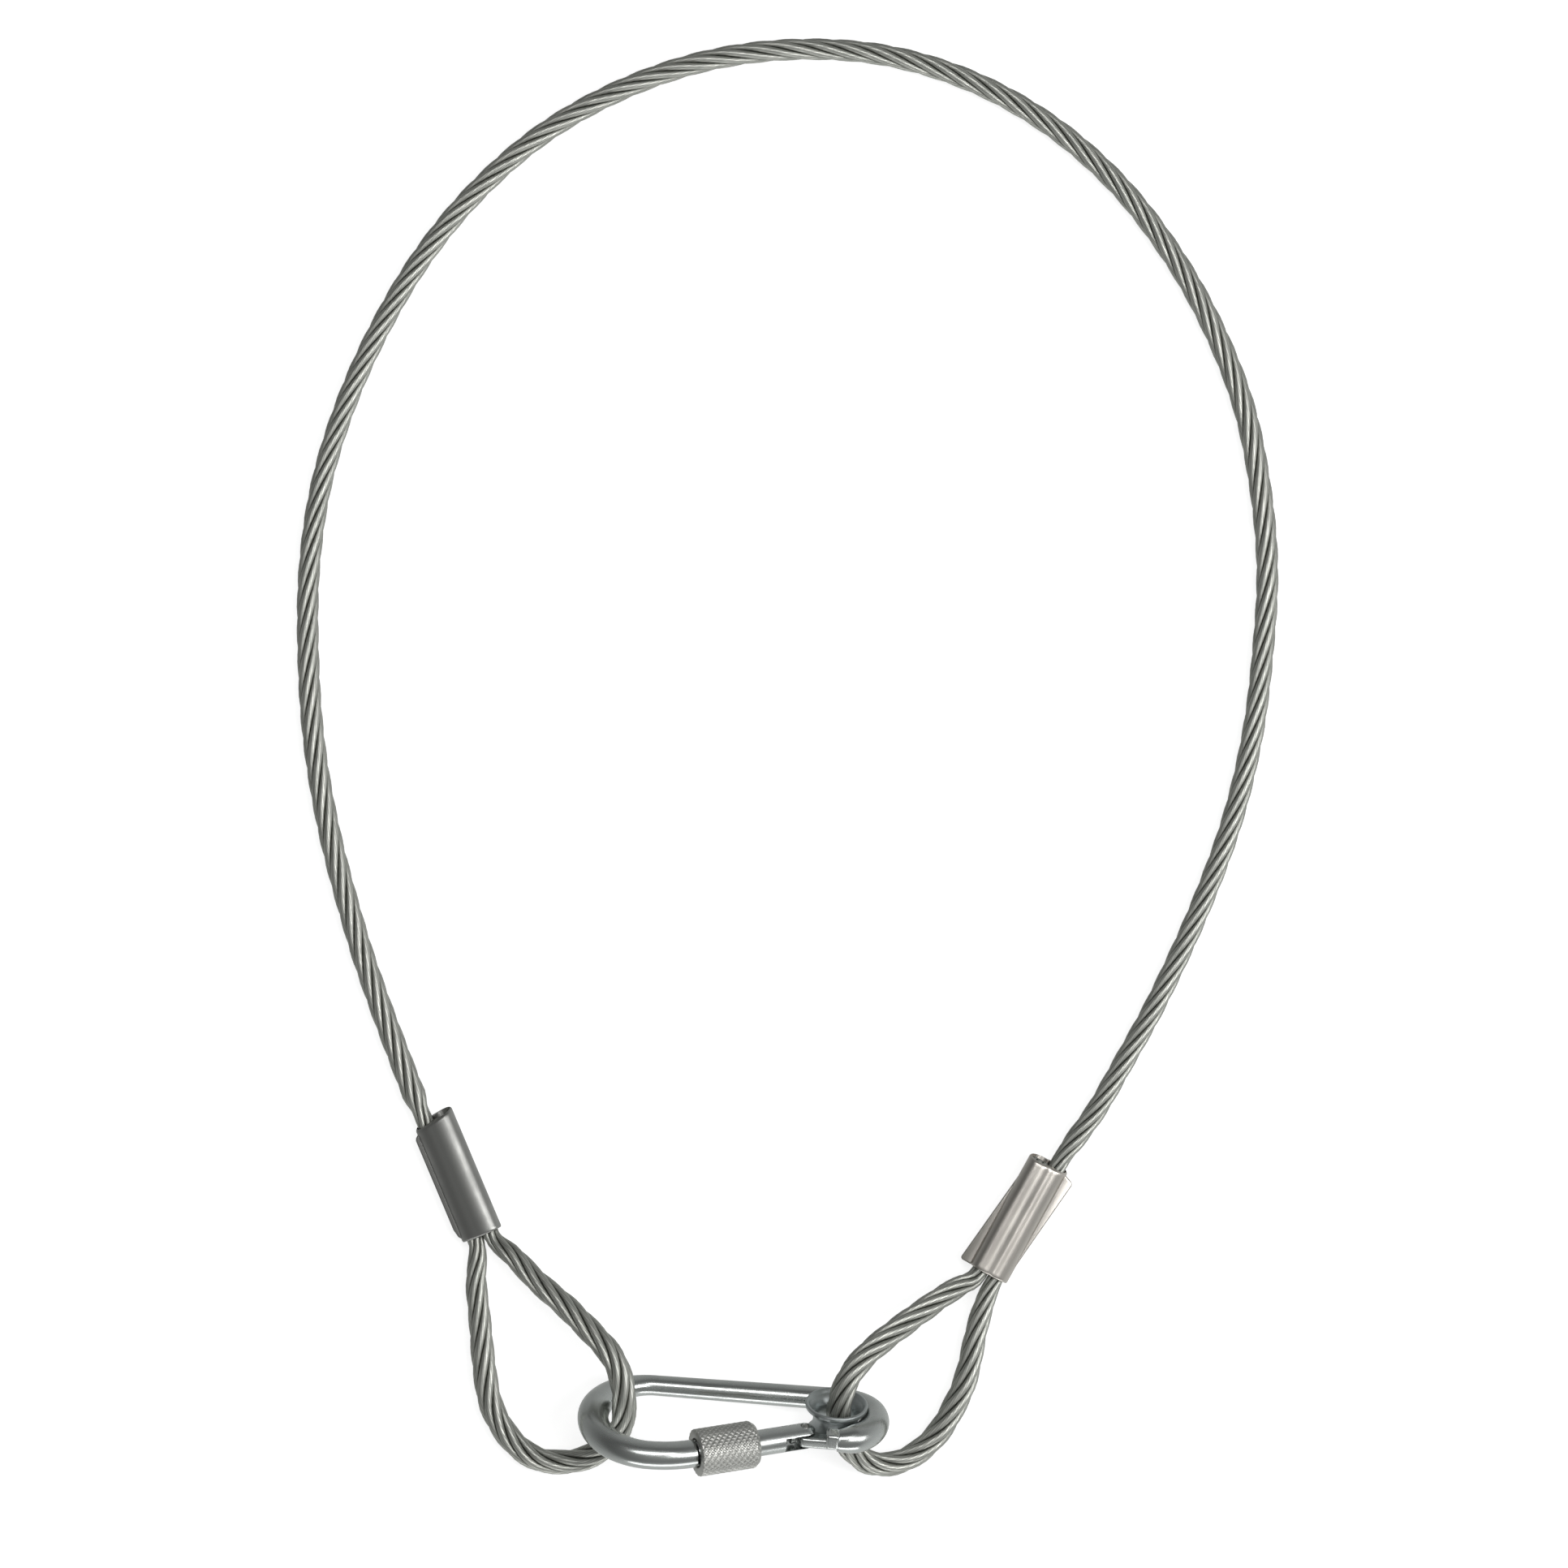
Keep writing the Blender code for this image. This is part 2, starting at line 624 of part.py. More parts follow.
def tongue_outline():
    """From the shoulder along the outside to the gate's pivot and back round the inside of the eye."""
    inner = EYE_RADIUS - TONGUE_INNER_REACH
    outline = [
        plane_point(TONGUE_ROOT_U, TONGUE_OUTER_V),
        plane_point(TONGUE_CORNER_U, TONGUE_OUTER_V),
        gate_point(TONGUE_END, TONGUE_END_OUTER),
        gate_point(TONGUE_END, TONGUE_END_INNER),
        gate_point(-0.2 * MM, -TONGUE_INNER_REACH),
    ]
    for angle in (125.0, 115.0, 105.0, 95.0, 85.0):
        outline.append(on_arc(EYE_CENTRE, inner, math.radians(angle)))
    return outline


def gate_point(along, outward):
    return PIVOT + GATE_AXIS * along + GATE_OUTWARD * outward


def blade_outline():
    """Hooked blade that reaches from the nose into the gate's latch slot."""
    root = NOSE_FACE + NOSE_WIRE_RADIUS / 2.0
    return [
        gate_point(root, BLADE_HALF_HEIGHT),
        gate_point(BLADE_TIP, BLADE_HALF_HEIGHT),
        gate_point(BLADE_TIP, -BLADE_HALF_HEIGHT),
        gate_point(NOTCH_START, -BLADE_HALF_HEIGHT),
        gate_point(NOTCH_START, NOTCH_TOP),
        gate_point(NOTCH_END, NOTCH_TOP),
        gate_point(NOTCH_END, -BLADE_HALF_HEIGHT),
        gate_point(root, -BLADE_HALF_HEIGHT),
    ]


# ---------------------------------------------------------------- thimble


def thimble_profile():
    """Closed (radius, height) profile: grooved outside, trumpet-mouthed inside, trimmed below."""
    outer = []
    steps = 8
    low_groove = THIMBLE_GROOVE_HALF_WIDTH - THIMBLE_LOW_TRIM
    for step in range(steps + 1):
        height = THIMBLE_GROOVE_HALF_WIDTH - (THIMBLE_GROOVE_HALF_WIDTH + low_groove) * step / steps
        drop = math.sqrt(THIMBLE_GROOVE_RADIUS ** 2 - height ** 2)
        outer.append((EYE_RADIUS - drop, height))
    mouth = THIMBLE_GROOVE_RADIUS + THIMBLE_WALL
    rim = [
        (THIMBLE_RIM_RADIUS - THIMBLE_RIM_ROUND, THIMBLE_HALF_LENGTH),
        (THIMBLE_RIM_RADIUS - THIMBLE_RIM_CHAMFER, THIMBLE_HALF_LENGTH - THIMBLE_RIM_CHAMFER),
        (THIMBLE_RIM_RADIUS, THIMBLE_HALF_LENGTH - THIMBLE_RIM_ROUND),
    ]
    low_rim = [(radius - THIMBLE_LOW_TRIM, THIMBLE_LOW_TRIM - height) for radius, height in reversed(rim)]
    inner = []
    low_mouth = THIMBLE_MOUTH_HALF_WIDTH - THIMBLE_LOW_TRIM
    for step in range(steps + 1):
        height = (THIMBLE_MOUTH_HALF_WIDTH + low_mouth) * step / steps - low_mouth
        inner.append((EYE_RADIUS - math.sqrt(mouth ** 2 - height ** 2), height))
    return rim + outer + low_rim + inner


def build_thimble(group):
    thimble = turned("eyelet_thimble", thimble_profile(), group, steps=36, closed=True)
    stand = Matrix.Translation(EYE_CENTRE) @ Matrix.Rotation(math.radians(-90.0), 4, "X")
    thimble.data.transform(eye_tilt() @ stand)
    return thimble


# ---------------------------------------------------------------- gate


def gate_profile():
    """Chamfered at the latch end, round nosed at the pivot end."""
    profile = [
        (0.0, GATE_LENGTH),
        (GATE_RADIUS - GATE_CHAMFER, GATE_LENGTH),
        (GATE_RADIUS, GATE_LENGTH - GATE_CHAMFER),
    ]
    steps = 6
    for step in range(steps):
        angle = math.pi / 2.0 * step / steps
        profile.append((GATE_RADIUS * math.cos(angle), -GATE_RADIUS * math.sin(angle)))
    profile.append((0.0, -GATE_RADIUS))
    return profile


def build_gate(group, cutters):
    """Gate drawn with the pivot at its origin, Z to the nose and X along the rivet."""
    gate = turned("gate", gate_profile(), group)
    side = Vector((1.0, 0.0, 0.0))
    reach = 4.0 * MM
    fork = box("fork_slot", Vector((0.0, 0.0, (FORK_SLOT_DEPTH - reach) / 2.0)),
               (FORK_SLOT_HALF_WIDTH, reach, (FORK_SLOT_DEPTH + reach) / 2.0), cutters)
    latch_end = GATE_LENGTH + MM
    latch = box("latch_slot", Vector((0.0, 0.0, (LATCH_SLOT_START + latch_end) / 2.0)),
                (LATCH_SLOT_HALF_WIDTH, reach, (latch_end - LATCH_SLOT_START) / 2.0), cutters)
    bore = bar("spring_bore", UP * (FORK_SLOT_DEPTH - MM), UP * SPRING_BORE_END, SPRING_BORE_RADIUS,
               cutters)
    ears = bar("ear_holes", -side * reach, side * reach, EAR_HOLE_RADIUS, cutters)
    upper_face = bar("upper_spotface", side * SPOTFACE_HEIGHT, side * reach, SPOTFACE_RADIUS, cutters)
    lower_face = bar("lower_spotface", -side * SPOTFACE_HEIGHT, -side * reach, SPOTFACE_RADIUS, cutters)
    pin_place = Vector((0.0, LATCH_PIN_OFFSET, LATCH_PIN_PLACE))
    pin_hole = bar("pin_hole", pin_place - side * reach, pin_place + side * reach, PIN_HOLE_RADIUS,
                   cutters, sides=12)
    for tool in (fork, latch, bore, ears, upper_face, lower_face, pin_hole):
        apply_boolean(gate, tool, "DIFFERENCE")
    return gate


def build_rivet(group):
    head = [
        (0.0, RIVET_HEAD_TOP),
        (RIVET_HEAD_RADIUS - 0.3 * MM, RIVET_HEAD_TOP),
        (RIVET_HEAD_RADIUS, RIVET_HEAD_BASE + 0.1 * MM),
        (RIVET_HEAD_RADIUS, RIVET_HEAD_BASE),
        (RIVET_RADIUS, RIVET_HEAD_BASE),
    ]
    profile = head + [(radius, -height) for radius, height in reversed(head)]
    rivet = turned("gate_rivet", profile, group, steps=24)
    rivet.data.transform(Matrix.Rotation(math.radians(90.0), 4, "Y"))
    return rivet


def build_latch_pin(group):
    place_on_gate = Vector((0.0, LATCH_PIN_OFFSET, LATCH_PIN_PLACE))
    reach = Vector((LATCH_PIN_HALF_LENGTH, 0.0, 0.0))
    return bar("latch_pin", place_on_gate - reach, place_on_gate + reach, LATCH_PIN_RADIUS, group, sides=12)


def build_plunger(group):
    profile = [
        (0.0, PLUNGER_STEM_END),
        (PLUNGER_STEM_RADIUS, PLUNGER_STEM_END),
        (PLUNGER_STEM_RADIUS, PLUNGER_HEAD_END),
        (PLUNGER_HEAD_RADIUS, PLUNGER_HEAD_END),
        (PLUNGER_HEAD_RADIUS, PLUNGER_FACE + 0.2 * MM),
        (PLUNGER_HEAD_RADIUS - 0.2 * MM, PLUNGER_FACE),
        (0.0, PLUNGER_FACE),
    ]
    return turned("spring_plunger", profile, group, steps=20)


def build_spring(group):
    """Compression coil round the plunger's stem, standing in the gate's bore."""
    steps_per_turn = 12
    count = SPRING_TURNS * steps_per_turn
    samples = []
    for step in range(count + 1):
        angle = 2.0 * math.pi * step / steps_per_turn
        outward = Vector((math.cos(angle), math.sin(angle), 0.0))
        height = SPRING_START + (SPRING_END - SPRING_START) * step / count
        samples.append((outward * SPRING_COIL_RADIUS + UP * height, SPRING_WIRE_RADIUS))
    return as_mesh(wire("gate_spring", samples, group, resolution=2), group)


def build_lock_nut(group):
    profile = [
        (NUT_BORE_RADIUS, NUT_END),
        (NUT_RADIUS - NUT_CHAMFER / 2.0, NUT_END),
        (NUT_RADIUS, NUT_END - NUT_CHAMFER / 2.0),
        (NUT_RADIUS, NUT_START + NUT_CHAMFER),
        (NUT_RADIUS - NUT_CHAMFER, NUT_START),
        (NUT_BORE_RADIUS, NUT_START),
    ]
    return turned("lock_nut", profile, group, steps=40, closed=True)


def build_hook(group, cutters):
    frame = hook_matrix()
    on_gate = frame @ gate_matrix()
    steel = {
        "hook_body": ((0.60, 0.62, 0.62), 0.25),
        "eyelet_thimble": ((0.52, 0.54, 0.54), 0.35),
        "gate": ((0.62, 0.64, 0.64), 0.25),
        "gate_rivet": ((0.58, 0.58, 0.56), 0.4),
        "latch_pin": ((0.5, 0.5, 0.5), 0.4),
        "gate_spring": ((0.45, 0.45, 0.45), 0.4),
        "spring_plunger": ((0.42, 0.42, 0.42), 0.45),
        "lock_nut": ((0.60, 0.61, 0.60), 0.35),
    }
    tilt_centre = frame.inverted() @ TILT_CENTRE
    body = build_hook_body(group, cutters)
    place(body, frame, tilt_centre)
    thimble = build_thimble(group)
    place(thimble, frame, tilt_centre)
    on_gate_pieces = [
        build_gate(group, cutters),
        build_rivet(group),
        build_latch_pin(group),
        build_spring(group),
        build_plunger(group),
        build_lock_nut(group),
    ]
    for piece in on_gate_pieces:
        place(piece, on_gate)
    for piece in [body, thimble] + on_gate_pieces:
        colour, roughness = steel[piece.name]
        finish(piece, make_material(piece.name, colour, roughness, 1.0), group)


def main():
    clear_scene()
    group = make_collection("safety_sling")
    cutters = make_collection("cutters")
    cutters.hide_render = True
    build_sling(group, cutters)
    build_hook(group, cutters)
    for tool in cutters.objects:
        tool.hide_render = True
        tool.display_type = "WIRE"


main()
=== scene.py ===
import math

import bmesh
import bpy
import numpy as np
from mathutils import Matrix, Vector


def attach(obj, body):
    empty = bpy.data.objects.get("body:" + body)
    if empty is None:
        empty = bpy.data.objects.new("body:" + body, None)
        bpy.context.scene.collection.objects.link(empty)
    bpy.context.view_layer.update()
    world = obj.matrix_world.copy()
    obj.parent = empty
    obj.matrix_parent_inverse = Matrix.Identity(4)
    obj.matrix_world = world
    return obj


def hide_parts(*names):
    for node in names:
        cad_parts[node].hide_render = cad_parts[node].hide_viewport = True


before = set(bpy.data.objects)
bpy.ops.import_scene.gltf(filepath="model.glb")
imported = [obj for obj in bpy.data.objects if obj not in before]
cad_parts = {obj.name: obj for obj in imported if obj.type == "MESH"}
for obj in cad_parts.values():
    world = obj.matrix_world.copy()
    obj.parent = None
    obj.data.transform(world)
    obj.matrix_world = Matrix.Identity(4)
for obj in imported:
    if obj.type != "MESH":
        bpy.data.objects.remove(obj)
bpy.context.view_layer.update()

MM = 0.001

# ---------------------------------------------------------------- camera, floor and light

CAMERA_PLACE = (0.00869, 0.10745, 0.915)
CAMERA_LENS = 123.6
SENSOR = 36.0
FLOOR_HALF = 1.6
LIT_PLACE = (0.01, 0.10, 0.0)

# Soft boxes: name, direction from the object, distance and two sides in m, power in W
SOFTBOXES = [
    ("front_softbox", (0.0, -0.988, 0.155), 1.0, 0.90, 0.22, 1.7),
    ("right_softbox", (0.62, -0.05, 0.78), 1.0, 0.34, 0.80, 4.6),
    ("top_softbox", (0.0, 0.28, 0.96), 1.2, 0.70, 0.26, 3.4),
]

# Studio brightness between straight down (0) and straight up (1), as (position, level)
STUDIO_LEVELS = [(0.40, 0.44), (0.58, 0.34), (0.74, 0.15), (0.88, 0.17)]
BRIGHT_SIDE = (0.62, -0.55, 0.0)


def make_camera():
    data = bpy.data.cameras.new("camera")
    data.sensor_width = SENSOR
    data.lens = CAMERA_LENS
    data.clip_start = 0.05
    data.clip_end = 10.0
    camera = bpy.data.objects.new("camera", data)
    camera.location = CAMERA_PLACE
    bpy.context.scene.collection.objects.link(camera)
    bpy.context.scene.camera = camera


def make_floor():
    mesh = bpy.data.meshes.new("floor")
    half = FLOOR_HALF
    corners = [(-half, -half, 0.0), (half, -half, 0.0), (half, half, 0.0), (-half, half, 0.0)]
    mesh.from_pydata(corners, [], [(0, 1, 2, 3)])
    floor = bpy.data.objects.new("floor", mesh)
    bpy.context.scene.collection.objects.link(floor)
    material = bpy.data.materials.new("floor")
    material.use_nodes = True
    shader = material.node_tree.nodes["Principled BSDF"]
    shader.inputs["Base Color"].default_value = (0.5, 0.5, 0.5, 1.0)
    shader.inputs["Emission Color"].default_value = (1.0, 1.0, 1.0, 1.0)
    shader.inputs["Emission Strength"].default_value = 0.78
    shader.inputs["Roughness"].default_value = 0.9
    shader.inputs["Specular IOR Level"].default_value = 0.1
    mesh.materials.append(material)
    floor.visible_glossy = False


def softbox(name, direction, distance, size_x, size_y, energy):
    """Area light that faces the middle of the object from a direction."""
    outward = Vector(direction).normalized()
    data = bpy.data.lights.new(name, "AREA")
    data.shape = "RECTANGLE"
    data.size = size_x
    data.size_y = size_y
    data.energy = energy
    light = bpy.data.objects.new(name, data)
    light.location = Vector(LIT_PLACE) + outward * distance
    light.rotation_euler = outward.to_track_quat("Z", "Y").to_euler()
    bpy.context.scene.collection.objects.link(light)


def make_light():
    """Studio that brightens towards the front and the right, with three soft boxes."""
    world = bpy.data.worlds.new("studio")
    world.use_nodes = True
    tree = world.node_tree
    background = tree.nodes["Background"]
    place = add(tree, "ShaderNodeTexCoord").outputs["Generated"]
    height = add(tree, "ShaderNodeSeparateXYZ", {0: place}).outputs["Z"]
    ramp = add(tree, "ShaderNodeValToRGB", {0: remap(tree, height, -1.0, 1.0, 0.0, 1.0)})
    elements = ramp.color_ramp.elements
    elements[0].position = 0.0
    elements[0].color = (0.50, 0.51, 0.50, 1.0)
    elements[1].position = 1.0
    elements[1].color = (0.24, 0.245, 0.24, 1.0)
    for position, level in STUDIO_LEVELS:
        middle = elements.new(position)
        middle.color = (level, level * 1.02, level * 1.01, 1.0)
    towards = add(tree, "ShaderNodeVectorMath", {0: place, 1: BRIGHT_SIDE}, operation="DOT_PRODUCT")
    side = remap(tree, towards.outputs["Value"], -0.8, 0.8, 0.62, 1.6)
    tree.links.new(side, background.inputs["Strength"])
    tree.links.new(ramp.outputs["Color"], background.inputs["Color"])
    bpy.context.scene.world = world
    for values in SOFTBOXES:
        softbox(*values)
    settings = bpy.context.scene.view_settings
    settings.view_transform = "Standard"
    settings.look = "None"


# ---------------------------------------------------------------- shader helpers


def add(tree, kind, inputs=None, **settings):
    node = tree.nodes.new(kind)
    for key, value in settings.items():
        setattr(node, key, value)
    for key, value in (inputs or {}).items():
        if isinstance(value, bpy.types.NodeSocket):
            tree.links.new(value, node.inputs[key])
        else:
            node.inputs[key].default_value = value
    return node


def noise(tree, vector, scale, detail, rough=0.55, stretch=(1.0, 1.0, 1.0)):
    mapped = add(tree, "ShaderNodeMapping", {"Vector": vector, "Scale": stretch})
    made = add(tree, "ShaderNodeTexNoise", {"Vector": mapped.outputs[0], "Scale": scale, "Detail": detail,
                                            "Roughness": rough})
    return made.outputs["Fac"]


def remap(tree, value, low, high, to_low, to_high):
    made = add(tree, "ShaderNodeMapRange", {"Value": value, "From Min": low, "From Max": high,
                                            "To Min": to_low, "To Max": to_high})
    return made.outputs[0]


def mixed(tree, share, first, second):
    made = add(tree, "ShaderNodeMix", {0: share}, data_type="RGBA")
    for socket, value in ((made.inputs[6], first), (made.inputs[7], second)):
        if isinstance(value, bpy.types.NodeSocket):
            tree.links.new(value, socket)
        else:
            socket.default_value = (*value, 1.0)
    return made.outputs[2]


def math_node(tree, operation, first, second):
    made = add(tree, "ShaderNodeMath", {0: first, 1: second}, operation=operation)
    return made.outputs[0]


def read(tree, name, output="Fac"):
    made = add(tree, "ShaderNodeAttribute", attribute_name=name)
    return made.outputs[output]


def bumped(tree, height, distance):
    return add(tree, "ShaderNodeBump", {"Height": height, "Strength": 1.0, "Distance": distance}).outputs[0]


def new_material(name):
    material = bpy.data.materials.new(name)
    material.use_nodes = True
    return material, material.node_tree, material.node_tree.nodes["Principled BSDF"]


def metal(name, light, dark, roughness, bump=0.002 * MM):
    """Plated or plain metal: patchy tint, drawn streaks along the grain and fine pitting."""
    spread = 0.05
    material, tree, shader = new_material(name)
    grain = read(tree, "grain", "Vector")
    patches = noise(tree, grain, 0.22, 4.0)
    lines = noise(tree, grain, 1.0, 3.0, 0.6, (0.12, 3.2, 3.2))
    pits = noise(tree, grain, 5.0, 4.0, 0.65)
    streaked = math_node(tree, "ADD", patches, math_node(tree, "MULTIPLY", lines, 0.3))
    share = remap(tree, streaked, 0.4, 0.9, 0.0, 1.0)
    tree.links.new(mixed(tree, share, light, dark), shader.inputs["Base Color"])
    rough = math_node(tree, "ADD", remap(tree, patches, 0.3, 0.7, roughness - spread, roughness + spread),
                      remap(tree, lines, 0.3, 0.7, -spread * 0.5, spread * 0.5))
    tree.links.new(rough, shader.inputs["Roughness"])
    height = math_node(tree, "ADD", math_node(tree, "MULTIPLY", lines, 0.6), pits)
    tree.links.new(bumped(tree, height, bump), shader.inputs["Normal"])
    shader.inputs["Metallic"].default_value = 1.0
    return material


def rope_steel():
    """Drawn galvanised wire with a random tone for each wire; painted shade with some dirt darkens the
    valleys between wires, and painted shade darkens the grooves between strands.
    """
    material, tree, shader = new_material("rope_steel")
    grain = read(tree, "grain", "Vector")
    valley = read(tree, "valley")
    depth = read(tree, "depth")
    wire = read(tree, "wire")
    patches = noise(tree, grain, 0.35, 4.0)
    lines = noise(tree, grain, 1.0, 3.0, 0.6, (0.5, 4.0, 4.0))
    bright = mixed(tree, remap(tree, patches, 0.3, 0.7, 0.0, 1.0), (0.74, 0.74, 0.69), (0.58, 0.59, 0.55))
    toned = mixed(tree, remap(tree, wire, 0.0, 1.0, 0.0, 0.45), bright, (0.40, 0.41, 0.38))
    # Painted shade: half dark in the valleys between wires (with some dirt), fully dark deep in the grooves
    # between strands and on the core
    shade_and_dirt = math_node(tree, "MAXIMUM", math_node(tree, "MULTIPLY", valley, 0.50), depth)
    # Near-black colour of the painted shade and dirt
    colour = mixed(tree, shade_and_dirt, toned, (0.085, 0.09, 0.075))
    tree.links.new(colour, shader.inputs["Base Color"])
    rough = math_node(tree, "ADD", remap(tree, lines, 0.3, 0.7, 0.38, 0.50),
                      math_node(tree, "MULTIPLY", shade_and_dirt, 0.2))
    tree.links.new(rough, shader.inputs["Roughness"])
    tree.links.new(bumped(tree, lines, 0.012 * MM), shader.inputs["Normal"])
    shader.inputs["Metallic"].default_value = 1.0
    return material


# ---------------------------------------------------------------- mesh helpers


def new_piece(name, verts, faces, body, material, stands_for, sharp):
    """Finished piece from vertices and faces, carried by a body and standing for CAD nodes."""
    return finish_piece(tool(name, verts, faces), body, material, stands_for, sharp)


def finish_piece(item, body, material, stands_for, sharp, flats=False):
    """Give a solid its material, shading and place in the frame; flats keeps its flat faces even."""
    item.data.materials.clear()
    item.data.materials.append(material)
    item.data.shade_smooth()
    if sharp:
        item.data.set_sharp_from_angle(angle=math.radians(sharp))
    if flats:
        level = item.modifiers.new("flats", "WEIGHTED_NORMAL")
        level.keep_sharp = True
        apply_modifiers(item, welded=False)
    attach(item, body)
    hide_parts(*stands_for)
    return item


def face_out(item):
    shell = bmesh.new()
    shell.from_mesh(item.data)
    bmesh.ops.recalc_face_normals(shell, faces=shell.faces)
    shell.to_mesh(item.data)
    shell.free()


def circle(sides):
    return np.linspace(0.0, 2.0 * math.pi, sides, endpoint=False)


def round_ring(angles, radius, height):
    """Ring about the Z axis; the radius may change with the angle."""
    return np.stack([radius * np.cos(angles), radius * np.sin(angles), 0.0 * angles + height], axis=1)


def section(first, second, angles):
    """Unit circle across a line, in the plane of two crossing directions."""
    return first[None, :] * np.cos(angles)[:, None] + second[None, :] * np.sin(angles)[:, None]


def skin(rings, closed=False):
    """Vertices and faces of a surface through equal rings of points, an array (rings, points, 3)."""
    count, sides = rings.shape[:2]
    index = np.arange(count * sides).reshape(count, sides)
    here = index if closed else index[:-1]
    there = np.roll(index, -1, axis=0) if closed else index[1:]
    quads = np.stack([here, np.roll(here, -1, axis=1), np.roll(there, -1, axis=1), there], axis=-1)
    faces = quads.reshape(-1, 4).tolist()
    if not closed:
        faces.append(index[0][::-1].tolist())
        faces.append(index[-1].tolist())
    return rings.reshape(-1, 3), faces


def store(item, name, values, kind="FLOAT"):
    """Write a per-point attribute, one number or one vector a point."""
    attribute = item.data.attributes.new(name, kind, "POINT")
    key = "vector" if kind == "FLOAT_VECTOR" else "value"
    attribute.data.foreach_set(key, np.asarray(values, np.float32).ravel())


def store_grain(item, matrix):
    """Grain coordinates in mm from a frame, with its Z, along which the grain runs, first."""
    points = points_of(item) @ np.array(matrix.inverted(), float)[:3, :3].T
    points += np.array(matrix.inverted().translation)
    store(item, "grain", points[:, [2, 0, 1]] / MM, "FLOAT_VECTOR")


def points_of(item):
    points = np.zeros(len(item.data.vertices) * 3, np.float32)
    item.data.vertices.foreach_get("co", points)
    return points.reshape(-1, 3).astype(float)


def framed(columns):
    """Frame from its three axes and its place."""
    matrix = Matrix.Identity(4)
    for column, direction in enumerate(columns):
        for row in range(3):
            matrix[row][column] = direction[row]
    return matrix


def moved(points, matrix):
    turn = np.array(matrix, float)
    return points @ turn[:3, :3].T + turn[:3, 3]


def turned(profile, sides, matrix, closed=False):
    """Surface of revolution about the frame's Z from (radius, height) points in mm."""
    angles = circle(sides)
    radius = np.array([point[0] for point in profile])[:, None] * MM
    height = np.array([point[1] for point in profile])[:, None] * MM
    rings = np.stack([radius * np.cos(angles), radius * np.sin(angles), height + 0.0 * angles], axis=-1)
    return skin(moved(rings, matrix), closed=closed)


def rounded(corners, radius):
    """A (radius, height) profile in mm with its inner corners rounded."""
    steps = 4
    out = [corners[0]]
    for before, here, after in zip(corners, corners[1:], corners[2:]):
        here_v, before_v, after_v = (np.array(point, float) for point in (here, before, after))
        back = before_v - here_v
        ahead = after_v - here_v
        reach = min(radius, 0.49 * np.linalg.norm(back), 0.49 * np.linalg.norm(ahead))
        start = here_v + back / np.linalg.norm(back) * reach
        end = here_v + ahead / np.linalg.norm(ahead) * reach
        for step in range(steps + 1):
            share = step / steps
            out.append(tuple(start * (1 - share) ** 2 + here_v * 2 * share * (1 - share) + end * share ** 2))
    out.append(corners[-1])
    return out


def tool(name, verts, faces):
    """Closed solid with its faces turned outward, to be shaped, joined or cut away."""
    mesh = bpy.data.meshes.new(name)
    mesh.from_pydata(np.asarray(verts).tolist(), [], faces)
    item = bpy.data.objects.new(name, mesh)
    bpy.context.scene.collection.objects.link(item)
    face_out(item)
    return item


def cut(item, other, operation="DIFFERENCE"):
    """Cut a solid away from a piece, or join it with UNION; the solid is used up."""
    modifier = item.modifiers.new("shape", "BOOLEAN")
    modifier.operation = operation
    modifier.solver = "EXACT"
    modifier.object = other
    apply_modifiers(item)
    bpy.data.objects.remove(other, do_unlink=True)


def apply_modifiers(item, welded=True):
    graph = bpy.context.evaluated_depsgraph_get()
    mesh = bpy.data.meshes.new_from_object(item.evaluated_get(graph))
    item.modifiers.clear()
    item.data = mesh
    if not welded:
        return
    shell = bmesh.new()
    shell.from_mesh(mesh)
    bmesh.ops.remove_doubles(shell, verts=shell.verts, dist=0.001 * MM)
    bmesh.ops.dissolve_degenerate(shell, edges=shell.edges, dist=0.001 * MM)
    shell.to_mesh(mesh)
    shell.free()


def soften(item, width, angle, segments, clamped=True):
    """Round a piece's sharp edges."""
    modifier = item.modifiers.new("edges", "BEVEL")
    modifier.width = width
    modifier.segments = segments
    modifier.limit_method = "ANGLE"
    modifier.angle_limit = math.radians(angle)
    modifier.use_clamp_overlap = clamped
    apply_modifiers(item)


# ---------------------------------------------------------------- rope

PRESSED_RADIUS = 1.5
PRESSED_OFFSET = 1.6
LAY = 30.3
WIRE_LAY = 13.0
STRANDS = 6
WIRES = 12
ROPE_STEP = 1.15
CREST = 2.05
STRAND_PLACE = 1.333
WIRE_CROWN = 0.71
WIRE_VALLEY = 0.675
SHADE_RADIUS = 1.80
SHADE_DEPTH = 0.32
CORE_RADIUS = 0.8
CORE_SIDES = 6
CURVE_PARTS = 24
DEAD_END_SETBACK = 0.9
MOUTH_GAP = 1.2

FERRULE_LENGTH = 20.6
FERRULE_HALF = FERRULE_LENGTH / 2.0
BACK_REACH = 1.6
FERRULE_ROLL = math.radians(15.0)

# Radius of the rope along an eye and along the loop, as (share of the way, radius)
EYE_RADII = [(0.0, 1.85), (0.12, 2.12), (0.88, 2.12), (1.0, 1.85)]
LOOP_RADII = [(0.0, 2.05), (0.25, 1.85), (0.5, 1.85), (0.7, 1.95), (1.0, 1.8)]

